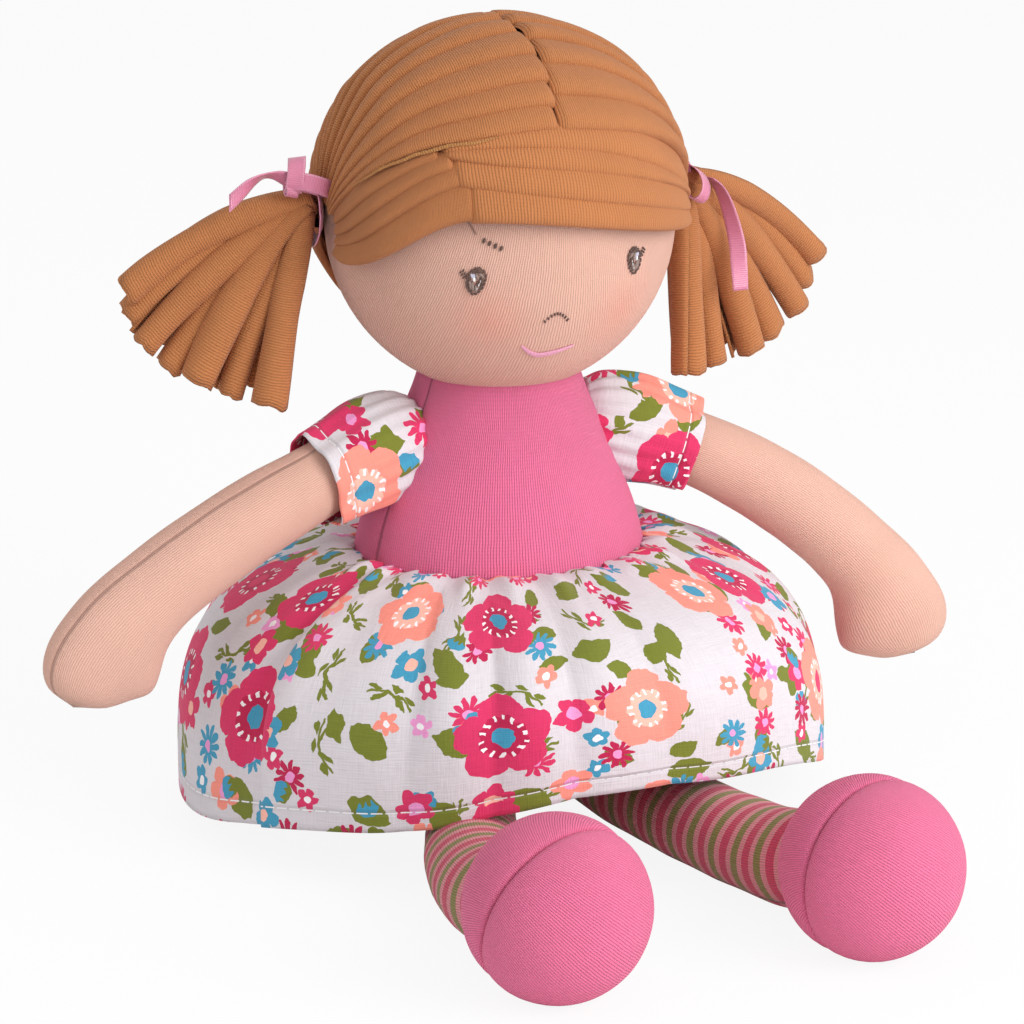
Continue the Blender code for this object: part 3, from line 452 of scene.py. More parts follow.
THREADS = {
    "dark": thread_cloth("dark_thread", srgb(98, 74, 66)),
    "grey": thread_cloth("grey_thread", srgb(146, 126, 118)),
    "pale": thread_cloth("pale_thread", srgb(200, 198, 214)),
    "white": thread_cloth("white_thread", srgb(252, 252, 252)),
}
EYES = {"right": (-22.2, -8.0), "left": (22.6, -5.8)}
EYE_RIM = [
    # millimetres from the middle of the eye, towards the nose and up
    (0.7, 3.6), (1.8, 3.0), (2.5, 1.9), (2.6, 0.7), (2.3, -0.5), (2.0, -1.6), (1.3, -2.7),
    (0.5, -3.6), (-0.5, -3.8), (-1.5, -3.0), (-2.2, -2.0), (-2.5, -0.8), (-2.5, 0.5), (-2.2, 1.7),
    (-1.4, 2.7), (-0.4, 3.4),
]
EYE_STITCHES = [
    # thread, from (x, y) to (x, y), radius
    ("dark", -1.4, 2.5, 0.1, 2.9, 0.36), ("dark", 0.0, 2.7, 1.4, 2.2, 0.38),
    ("grey", 0.8, 2.2, 1.9, 1.0, 0.42), ("dark", -2.0, -0.2, -1.3, -1.5, 0.38),
    ("grey", -1.6, 0.0, -1.1, -2.2, 0.42), ("grey", -0.9, -0.4, -0.5, -2.7, 0.42),
    ("dark", 0.3, -0.4, 0.6, -1.5, 0.36), ("dark", 1.3, 0.8, 1.7, -0.8, 0.42),
    ("grey", 0.1, -1.2, 0.2, -2.9, 0.42), ("dark", 1.6, -0.9, 0.9, -2.3, 0.36),
    ("pale", -1.3, 1.8, -0.8, 0.8, 0.34), ("pale", -0.7, 1.9, -0.3, 0.3, 0.36),
    ("grey", 0.0, 1.9, 0.6, 0.4, 0.4), ("dark", -1.9, 1.4, -1.6, 0.1, 0.36),
    ("dark", -1.7, -1.8, -0.9, -2.9, 0.32), ("dark", 0.7, 0.6, 1.0, -0.5, 0.34),
    ("grey", 0.9, -1.0, 0.3, -2.4, 0.36), ("dark", -0.9, 2.2, -0.2, 2.3, 0.3),
]
LASHES = [
    (-4.2, 2.0, -3.9, 2.4), (-3.5, 2.4, -3.2, 2.9), (-3.9, 1.3, -3.5, 1.8),
    (-3.1, 1.7, -2.8, 2.2), (-3.4, 0.6, -3.0, 1.1), (-2.9, 1.0, -2.6, 1.5),
]
for side, sign in SIDES.items():
    centre, inward = EYES[side], -sign
    shapes = {name: bmesh.new() for name in THREADS}

    def embroider(thread, x0, y0, x1, y1, radius, rise=0.25):
        ends = [face_place(centre[0] + inward * x, centre[1] + y, rise) for x, y in ((x0, y0), (x1, y1))]
        add_stitch(shapes[thread], *ends, radius * MM)

    for (x0, y0), (x1, y1) in zip(EYE_RIM, EYE_RIM[1:] + EYE_RIM[:1]):
        embroider("dark", x0, y0, x0 * 0.3 + x1 * 0.64, y0 * 0.3 + y1 * 0.64, 0.3, 0.3)
    for thread, *stitch in EYE_STITCHES:
        embroider(thread, *stitch)
    for lash in LASHES:
        embroider("dark", *lash, 0.24)
    embroider("white", -0.55, 0.9, -0.35, 0.1, 0.34, 0.55)
    for x0, y0, x1, y1 in ((1.4, 0.6, 1.1, -0.3), (1.0, -0.5, 0.7, -1.3), (0.6, -1.6, 0.2, -2.4)):
        embroider("white", x0, y0, x1, y1, 0.11, 0.5)
    for name, cloth in THREADS.items():
        made = add_piece("eye_" + side + "_" + name, shapes[name], cloth, "head")
        if name == "dark":
            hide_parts("eye_" + side)

shape = bmesh.new()
for i in range(4):
    x, y = -20.3 + 1.42 * i, 2.5 - 0.66 * i
    add_stitch(shape, face_place(x - 0.2, y - 0.5), face_place(x + 0.2, y + 0.45), 0.42 * MM)
brow = add_piece("brow_embroidery", shape, THREADS["dark"], "head")
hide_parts("brow_right")
shape = bmesh.new()
for i in range(9):
    share = (i - 4) / 4
    x, y = -0.2 + 3.1 * share, -18.0 - 2.2 * abs(share) ** 1.8
    lean = 0.252 * share
    add_stitch(shape, face_place(x - lean, y - 0.34), face_place(x + lean, y + 0.34), 0.26 * MM)
nose = add_piece("nose_embroidery", shape, THREADS["dark"], "head")
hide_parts("nose_stitches")
mouth_thread = thread_cloth("mouth_thread", srgb(242, 178, 204))
shape = bmesh.new()
for i in range(33):
    share = (i - 16) / 16
    bend = share + 0.25
    rise = 3.9 * (-bend / 0.75) ** 1.6 if bend < 0 else 2.6 * (bend / 1.25) ** 1.7
    x, y = -0.75 + 7.1 * share, -32.1 + rise
    tall = 0.12 + 0.78 * (1 - share * share) ** 0.8
    add_stitch(shape, face_place(x + 0.12, y + tall, 0.3), face_place(x - 0.12, y - tall, 0.3), 0.27 * MM)
mouth = add_piece("mouth_embroidery", shape, mouth_thread, "head")
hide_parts("mouth_stitches")

# The hair is jersey cut in strips that curl at their raw edges. They are sewn side by side from
# a middle parting down to the two ties, each lying over the edge of the one in front of it.
STRIP_WIDTH = 26 * MM
STRIP_SECTION = [
    # share across the strip from its tucked edge to its free one, share of half its thickness
    (1.0, -0.1), (0.985, 0.5), (0.95, 0.88), (0.88, 1.0), (0.7, 1.0), (0.5, 0.96), (0.3, 0.93),
    (0.1, 0.9), (0.0, 0.4), (0.05, -0.8), (0.3, -1.0), (0.6, -1.0), (0.85, -1.0), (0.95, -0.9),
    (0.985, -0.6),
]


def hair_cloth(name, colour):
    return jersey(name, colour, 0.62 * MM, 0.68 * MM, 0.2 * MM)


def hair_point(sign, around, out_share, height):
    """A point over the head: degrees round the line through the ties, and out from tie to parting."""
    polar, turn = out_share * pi / 2, radians(around)
    way = Vector((sign * cos(polar), -cos(turn) * sin(polar) * HEAD_DEPTH, sin(turn) * sin(polar)))
    return HEAD + way * (HEAD_RADIUS + height)


def add_strip(shape, sign, low_edge, high_edge, near, far, lift, seed, lowest=0.0):
    """One strip of hair between two edges, each given as degrees round at a share of its length."""
    count = len(STRIP_SECTION)

    def place(u, v):
        at = u * count
        i, t = int(at) % count, at - int(at)
        a, b = STRIP_SECTION[i], STRIP_SECTION[(i + 1) % count]
        s, thick = a[0] + (b[0] - a[0]) * t, a[1] + (b[1] - a[1]) * t
        out = near + (far - near) * v
        around = high_edge(v) + (low_edge(v) - high_edge(v)) * s
        around += 0.7 * noise.noise(Vector((seed * 3.1, v * 2.5, s * 0.4)))
        ends = sqrt(max(0, 1 - max(0, (v - 0.975) / 0.025) ** 2))
        full = 0.4 + 0.6 * min(1, 2.2 * v)
        half = 1.3 * (0.6 + 0.4 * full) * (0.35 + 0.65 * ends)
        rolled = 2.6 + 3.2 * s - 1.7 * max(0, (s - 0.62) / 0.38) ** 2 + lowest * (1 - s)
        middle = rolled * full * (0.84 + 0.16 * ends) + lift * full
        middle += 0.35 * noise.noise(Vector((seed, v * 4, s * 0.7)))
        return hair_point(sign, around, out, (0.5 + middle + half * thick) * MM)

    lay_cloth(shape, count * 2, 56, place, lambda u, v: (v * 75 * MM + seed * 2 * MM, u * STRIP_WIDTH))


def fan(at, swing, power):
    """An edge that starts at a place on the parting and swings towards the tie."""
    return lambda v: at + swing * (1 - v) ** power


CROWN_EDGES = {
    # degrees up from the crown's low edge to the front edge of each strip, at the parting
    "right": [0, 7.5, 16, 27.5, 40, 52, 64],
    "left": [0, 11, 23.5, 36, 48.5, 61],
}
CROWN_WIDTH = 200
crown_low = {"right": lambda v: 38 - 2.8 / (1 + exp((0.62 - v) * 18)), "left": fan(35.2, 2.6, 2)}
crown_high = fan(236, -50, 1.5)
hair_jersey = hair_cloth("hair_jersey", srgb(188, 121, 74))
for side, sign in SIDES.items():
    shape = bmesh.new()
    edges = list(CROWN_EDGES[side])
    edges += [edges[-1] + 12.4 * i + 1.4 * sin(2.1 * i + sign) for i in range(1, 12)]
    edges = [at for at in edges if at < CROWN_WIDTH - 10] + [CROWN_WIDTH]
    for i in range(len(edges) - 1):
        def edge(at, side=side):
            low = crown_low[side]
            return lambda v: low(v) + (crown_high(v) - low(v)) * at / CROWN_WIDTH
        bulge = 0.022 * exp(-(((edges[i] - 22) / 16) ** 2))
        far = 0.999 - sign * bulge + 0.004 * sin(i * 1.3)
        add_strip(shape, sign, edge(edges[i] - 1), edge(edges[i + 1] + 3.4), 0.1, far, 0.5, i + sign * 40)
    hair = add_piece("hair_" + side + "_strips", shape, hair_jersey, "head")
    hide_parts("hair_" + side)

# The raw edge of the crown's first strip stands open at the doll's right: a thin curl of cut
# loops that runs from near the parting down to the tie.
def raw_edge_point(u, v):
    turn, out = 2 * pi * u, 0.3 + 0.56 * v
    frayed = 0.62 * (1 + 0.45 * noise.noise(Vector((v * 60, turn, 0))))
    frayed *= sin(pi * min(1, v / 0.94 + 0.03)) ** 0.4
    around = crown_low["right"](out) - 1.3 + 0.8 * noise.noise(Vector((v * 7, 2, 0)))
    around += frayed * cos(turn) * 1.15
    return hair_point(-1, around, out, (6.1 + 0.5 * v + frayed * sin(turn)) * MM)


def raw_edge_chart(u, v):
    return v * 42 * MM, u * 4 * MM


raw_jersey = hair_cloth("raw_jersey", srgb(184, 128, 76))
raw_edge = sew_piece("raw_edge_curl", 8, 220, raw_edge_point, raw_edge_chart, raw_jersey, "head")

# The fringe is a shorter set of the same strips over the forehead, parted at the doll's right.
# Its lowest strip is the widest, and the crown's first strip covers its upper edge.
fringe_low = {"right": fan(10.6, -48, 1.9), "left": fan(10.5, -17.5, 1.42)}
FRINGE_TOP = 37
FRINGE_EDGES = {
    # shares of the fringe's width at the parting and at the tie, and how late the edge turns
    "right": [(0, 0, 1), (0.44, 0.3, 1.5), (0.66, 0.5, 1.5), (0.84, 0.74, 1.5), (1, 1, 1)],
    "left": [(0, 0, 1), (0.46, 0.22, 6.5), (0.84, 0.49, 8), (0.88, 0.56, 1.6), (1, 1, 1)],
}
FRINGE_ENDS = {"right": [0.704, 0.676, 0.655, 0.615], "left": [1.312, 1.352, 1.375, 1.375]}
for side, sign in SIDES.items():
    low = fringe_low[side]
    shape = bmesh.new()
    rows = FRINGE_EDGES[side]
    for i in range(len(rows) - 1):
        def edge(row, shift, low=low):
            far_share, near_share, power = row

            def degrees_up(v):
                share = near_share + (far_share - near_share) * v**power
                return low(v) + (FRINGE_TOP - low(v)) * share + shift
            return degrees_up
        bottom, top, end = edge(rows[i], -0.6), edge(rows[i + 1], 3.5), FRINGE_ENDS[side][i]
        add_strip(shape, sign, bottom, top, 0.12, end, -0.4, i + sign * 70, 0.6)
    fringe = add_piece("fringe_" + side + "_strips", shape, hair_jersey, "head")
    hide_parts("fringe_" + side)

# Each pigtail is a bunch of loose strips that have rolled up along their length. A ribbon holds
# them at the tie, and their cut ends stand open.
TIE_OUT, TIE_BACK, TIE_HEIGHT = 53, 3, 163.5
STRANDS = {
    # degrees below level, length in millimetres, layer from front (-1) to back (1)
    "right": [(-23, 50, -1), (-31, 53, -0.4), (-39, 54, -1), (-48, 54, -0.5), (-57, 52, -1),
              (-67, 52, -0.4), (-79, 51, -1), (-28, 49, 0.6), (-43, 51, 0.9), (-58, 50, 0.7),
              (-73, 49, 0.9)],
    "left": [(-27, 53, -1), (-35, 56, -0.4), (-44, 56, -1), (-54, 55, -0.5), (-65, 53, -1),
             (-77, 52, -0.4), (-90, 51, -1), (-31, 51, 0.6), (-48, 52, 0.9), (-64, 51, 0.7),
             (-81, 50, 0.9)],
}


def tie_point(sign):
    return Vector((sign * TIE_OUT, TIE_BACK, TIE_HEIGHT)) * MM


def add_strand(shape, sign, angle, length, layer, seed):
    """One strip rolled to a spiral, from the tie out to its open end."""
    turn = Matrix.Rotation(radians(sign * 20), 3, "Z")
    out, back = turn @ Vector((sign, 0, 0)), turn @ Vector((0, 1, 0))
    tie = tie_point(sign)
    way = out * cos(radians(angle)) + Vector((0, 0, sin(radians(angle))))
    share = (-20 - angle) / 65
    start = tie + back * layer * 2.0 * MM + Vector((0, 0, (2.6 - 5.2 * share) * MM)) - way * 3 * MM
    end = tie + way * length * MM + back * layer * 5.5 * MM
    along = (end - start).normalized()
    across = along.cross(Vector((0, 1, 0))).normalized()
    up = across.cross(along)

    def place(u, v):
        arch = Vector((0, 0, 4 * (4.9 + 0.8 * sin(seed * 1.9)) * v * (1 - v))) * MM
        centre = start.lerp(end, v) + arch
        radius = 2.3 + 2.0 * min(1, v / 0.45) ** 0.8
        radius *= 1 + 0.07 * sin(7 * v + seed * 2.2) + 0.1 * sin(seed * 3.7)
        radius *= 1.05 - 0.5 * u + 0.12 * noise.noise(Vector((seed * 1.7, u * 3, v * 2.2)))
        turn_by = seed * 2.3 + 2 * pi * 1.45 * u + 0.7 * v * sin(seed * 1.3)
        ragged = 1.4 * noise.noise(Vector((seed, u * 9, 0))) + 0.5 * noise.noise(Vector((seed, u * 40, 3)))
        ragged *= max(0, v - 0.9) * 10
        return centre + (up * cos(turn_by) + across * sin(turn_by)) * radius * MM + along * ragged * MM

    lay_cloth(shape, 30, 26, place, lambda u, v: (v * length * MM, u * STRIP_WIDTH))


def add_wall(piece, thickness, side=0):
    """Gives a sheet its thickness, on both its sides (0) or on its inner one (-1)."""
    wall = piece.modifiers.new("wall", "SOLIDIFY")
    wall.thickness, wall.offset = thickness, side


for side, sign in SIDES.items():
    shape = bmesh.new()
    for seed, (angle, length, layer) in enumerate(STRANDS[side]):
        add_strand(shape, sign, angle, length, layer, seed + (sign > 0) * 20)
    pigtail = add_piece("pigtail_" + side + "_strips", shape, hair_jersey, "pigtail_" + side)
    add_wall(pigtail, 0.9 * MM)
    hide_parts("pigtail_" + side)
    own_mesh(pigtail)

# A narrow pink satin ribbon is wound round each pigtail and tied in a bow in front of the tie.
# Its two edges are ribbed, and its tails hang loose.
RIBBON_WIDTH = 4.6 * MM


def satin(name, colour):
    made, tree = new_cloth(name, 0.3, 0.3, 0.7, 0.3)
    tree.nodes["Principled BSDF"].inputs["Anisotropic"].default_value = 0.5
    parts = split(tree, place_by(tree, "UV"))
    ribs = calc(tree, "SINE", calc(tree, "MULTIPLY", parts[0], 2 * pi / (0.42 * MM)))
    edge = calc(tree, "ABSOLUTE", calc(tree, "SUBTRACT", parts[1], 0.5))
    edge = calc(tree, "GREATER_THAN", edge, 0.39)
    light = calc(tree, "MULTIPLY_ADD", ribs, calc(tree, "MULTIPLY_ADD", edge, 0.12, 0.05), 0.97)
    shown = mix(tree, calc(tree, "MULTIPLY", edge, 0.3), colour, srgb(246, 180, 204))
    height = calc(tree, "MULTIPLY_ADD", edge, 0.8, calc(tree, "MULTIPLY", ribs, 0.3))
    return finish_cloth(made, shade(tree, shown, light), height, 0.12 * MM)


ribbon_satin = satin("satin_ribbon", srgb(216, 128, 158))


def add_ribbon(shape, points, flat, width=RIBBON_WIDTH):
    """A ribbon along the points; flat is the direction of its width, or one for each point."""
    flats = flat if isinstance(flat, list) else [flat] * len(points)
    table = [(i, *p, *f) for i, (p, f) in enumerate(zip(points, flats))]
    last = len(points) - 1

    def place(u, v):
        x, y, z, fx, fy, fz = smooth_row(table, min(last, u * last))
        return Vector((x, y, z)) + Vector((fx, fy, fz)).normalized() * width * (v - 0.5)

    length = sum((b - a).length for a, b in zip(points, points[1:]))
    lay_cloth(shape, last * 6, 6, place, lambda u, v: (u * length, v))


RIBBON_PATHS = {
    # each run of ribbon as places (out, front, up) in millimetres from the tie, and the way of its
    # width at the start, the middle and the end, in the same three directions
    "right": [
        ([(5.0, 7, 6.4), (4.9, 8.4, 8.6), (4.5, 8.9, 12), (3.9, 7.6, 14.6), (3.0, 5.0, 15.2),
          (2.4, 2.8, 12.2), (3.0, 3.2, 9.4), (4.2, 5, 7.2)],
         [(-1, 0.35, 0), (-0.95, 0.3, 0.12), (-0.9, 0.4, 0)]),
        ([(4.9, 7.8, 9.6), (2.2, 9.6, 9.6), (-0.7, 10.2, 8.8), (-3.9, 9.2, 7.4), (-5.2, 6.8, 6.4),
          (-3.4, 5.2, 6.9), (-0.2, 5.2, 8), (3.6, 6, 9)],
         [(0, 0, 1), (-0.25, 0, 1), (0, 0.1, 1)]),
        ([(5.5, 6.4, 9.6), (7.6, 6.2, 10.6), (9.9, 6.4, 11.3), (12.4, 7, 11.4), (15, 7.4, 10.4),
          (18.4, 7.6, 8), (22, 7.4, 5)],
         [(0, 0.3, 1), (0.2, 0.9, 0.45), (-0.1, -0.3, 1)]),
    ],
    "left": [
        ([(1.1, 2.6, 5.9), (2.3, 4.7, 5.4), (3.4, 7.4, 4.0), (3.7, 9.8, 1.5), (2.8, 10.8, -1.2),
          (1.4, 10, -2.7), (0.1, 7.9, -2.2), (-0.5, 5.4, -0.3), (-0.4, 3.5, 2.2), (0.4, 2.6, 4.7)],
         [(-0.73, 0.53, 0.43), (-0.73, 0.53, 0.43), (-0.73, 0.53, 0.43)]),
        ([(6.6, 5.2, 2.4), (8.6, 5.4, 0.6), (10.2, 6, -2.1), (11.6, 6.8, -6), (12.9, 7.8, -11.3),
          (13.7, 8.8, -16.5), (13.9, 9.6, -21.9), (14.1, 10.4, -28.1)],
         [(0.2, 1, 0), (0.6, 0.75, 0), (1, -0.1, 0)]),
    ],
}
KNOTS = {"right": (4.9, 6.6, 7.4), "left": (-0.4, 3.4, 4.4)}
for side, sign in SIDES.items():
    axes = Matrix(((sign, 0, 0), (0, -1, 0), (0, 0, 1)))
    tie = tie_point(sign)
    shape = bmesh.new()
    rounds = [Vector((0, cos(pi * i / 6), sin(pi * i / 6))) for i in range(13)]
    ring = [tie + axes @ (way * 7.6 + Vector((-2.6, 0, 0))) * MM for way in rounds]
    add_ribbon(shape, ring, [axes @ Vector((0.5, way.y * 0.87, way.z * 0.87)) for way in rounds], 3.6 * MM)
    for places, widths in RIBBON_PATHS[side]:
        points = [tie + axes @ Vector(place) * MM for place in places]
        table = [(i / 2, *width) for i, width in enumerate(widths)]
        shares = [min(0.999, i / (len(points) - 1)) for i in range(len(points))]
        add_ribbon(shape, points, [axes @ Vector(smooth_row(table, at)).normalized() for at in shares])
    knot = tie + axes @ Vector(KNOTS[side]) * MM
    turns = [pi * i / 5 for i in range(11)]
    band = [knot + axes @ Vector((0.3, 1.7 * cos(turn) - 0.4, 2.0 * sin(turn))) * MM for turn in turns]
    add_ribbon(shape, band, axes @ Vector((1, 0, 0.25)).normalized(), 3.2 * MM)
    bow = add_piece("bow_" + side + "_ribbon", shape, ribbon_satin, "head")
    add_wall(bow, 0.3 * MM)
    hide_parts("bow_" + side)
    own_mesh(bow)

# Each arm is a tube of skin-coloured jersey with a mitten hand and a short thumb, filled with
# fibre. One seam runs along its top, and its root is sewn to the shoulder.
SHOULDER_OUT, SHOULDER_HEIGHT = 31.6, 100
# Degrees below level along the arm at its stations, and degrees forward for the whole arm.
ARM_STATIONS = [0, 22.6, 50.9, 76.8, 94.9, 107.4, 113]
ARM_DROP = {"right": [15, 19, 24, 31, 46, 62, 66], "left": [13, 23, 34, 45, 57, 69, 72]}
ARM_FORWARD = 13
ARM_STRETCH = {"right": 1, "left": 116 / 113}
ARM_TABLE = [
    # share of the way, distance from the shoulder, half height, half thickness
    (0.00, -8.8, 0, 0), (0.04, -6.6, 6.0, 6.0), (0.09, 0, 8.8, 8.8), (0.24, 22.6, 9.9, 9.7),
    (0.44, 50.9, 11.0, 10.9), (0.62, 76.8, 11.5, 10.8), (0.76, 93.5, 13.0, 10.2),
    (0.87, 104, 12.6, 8.8), (0.95, 110.6, 8.4, 5.8), (1.0, 113.4, 0, 0),
]
ARM_GIRTH, ARM_LENGTH = 68 * MM, 128 * MM


def bent_place(start, heading, turn_axis, table, distance):
    """Point and direction at a distance along a limb that bends by a table of (distance, degrees)."""
    point, steps = Vector(start), max(1, int(abs(distance) / 3))
    for i in range(steps):
        angle = smooth_row(table, max(0, distance * (i + 0.5) / steps))[0]
        point = point + (Matrix.Rotation(radians(angle), 3, turn_axis) @ heading) * distance / steps * MM
    angle = smooth_row(table, max(0, distance))[0]
    return point, Matrix.Rotation(radians(angle), 3, turn_axis) @ heading


def around_path(centre, along, turn, half_up, half_across):
    across = along.cross(Vector((0, 0, 1))).normalized()
    up = across.cross(along)
    return centre + (up * cos(turn) * half_up + across * sin(turn) * half_across) * MM


def arm_place(side, distance):
    sign = SIDES[side]
    key = (side, round(distance, 4))
    if key not in arm_places:
        shoulder = Vector((sign * SHOULDER_OUT, 0, SHOULDER_HEIGHT)) * MM
        heading = Matrix.Rotation(radians(-sign * ARM_FORWARD), 3, "Z") @ Vector((sign, 0, 0))
        turn_axis = heading.cross(Vector((0, 0, -1)))
        drops = [(at * ARM_STRETCH[side], drop) for at, drop in zip(ARM_STATIONS, ARM_DROP[side])]
        arm_places[key] = bent_place(shoulder, heading, turn_axis, drops, distance)
    return arm_places[key]


arm_places = {}
ARM_SEAM = {"right": 0.95, "left": 0.96}
THUMB = {"right": 94.5, "left": 97.5}
THUMB_LENGTH = 5.8
for side, sign in SIDES.items():
    def arm_point(u, v, side=side, sign=sign):
        distance, tall, thick = smooth_row(ARM_TABLE, v)
        centre, along = arm_place(side, distance * ARM_STRETCH[side])
        turn = 2 * pi * u
        point = around_path(centre, along, turn, max(0, tall), max(0, thick))
        thumb = exp(-(((u - 0.5) / 0.125) ** 2) - ((distance - THUMB[side]) / 11.5) ** 2)
        crease = 0.5 * exp(-(((u - 0.5) / 0.12) ** 2) - ((distance - 84) / 5) ** 2)
        wrinkle = 0.25 * noise.noise(Vector((sign * 9 + cos(turn), sin(turn), distance * 0.09)))
        outward = (point - centre).normalized() if (point - centre).length > 0.1 * MM else Vector()
        swell = THUMB_LENGTH * thumb - crease + wrinkle
        return point + outward * swell * MM + along * 2.0 * thumb * MM

    seams = (ARM_SEAM[side] * ARM_GIRTH,)
    arm_cloth = jersey("arm_" + side + "_cloth", SKIN, 0.6 * MM, 0.64 * MM, 0.13 * MM, seams, contrast=0.32)
    chart = plain_chart(ARM_GIRTH, ARM_LENGTH)
    arm = sew_piece("arm_" + side + "_jersey", 48, 84, arm_point, chart, arm_cloth, "arm_" + side)
    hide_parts("arm_cover_" + side, "arm_stuffing_" + side, "shoulder_stitches_" + side)

# The skirt is thin white cotton printed with small flowers, gathered into the waist seam. Its
# lower edge is folded up and sewn with a white running stitch.
PRINT = {
    "ground": srgb(217, 211, 216), "crimson": srgb(216, 54, 102), "deep": srgb(190, 34, 80),
    "coral": srgb(248, 148, 132), "peach": srgb(250, 186, 168), "blue": srgb(68, 154, 188),
    "olive": srgb(118, 126, 44), "orchid": srgb(238, 156, 208), "white": srgb(248, 244, 246),
}


FLOWER_KINDS = [
    # cell of the scatter, its looseness and shift; petals, radius, waist and power; share present,
    # colours; radius and colours of the middle
    (10.5, 0.25, 2.21, 5, 3.3, 0.6, 1.0, 0.3,
     [(0, "orchid"), (0.35, "crimson"), (0.65, "coral"), (0.85, "blue")], 1.0, [(0, "white")]),
    (17, 0.3, 3.07, 10, 4.8, 0.38, 0.7, 0.44, [(0, "crimson"), (0.5, "deep"), (0.75, "blue")],
     1.3, [(0, "orchid")]),
    (20, 0.3, 4.19, 5, 5.4, 0.62, 0.8, 0.52, [(0, "blue"), (0.36, "coral"), (0.7, "crimson")],
     1.9, [(0, "orchid"), (0.5, "peach")]),
]
STEM_LEAVES = [(3.2, 2.0, 0.8), (-3.2, 2.0, -0.8), (0.6, -1.5, 0.3), (5.4, 0.2, 0.2), (-5.4, 0.3, -0.2)]


def colour_steps(tree, share, stops):
    """One of several colours by a share, each from its place on."""
    ramp = tree.nodes.new("ShaderNodeValToRGB")
    ramp.color_ramp.interpolation = "CONSTANT"
    while len(ramp.color_ramp.elements) < len(stops):
        ramp.color_ramp.elements.new(0.5)
    for element, (at, colour) in zip(ramp.color_ramp.elements, stops):
        element.position, element.color = at, colour
    tree.links.new(share, ramp.inputs[0])
    return ramp.outputs[0]


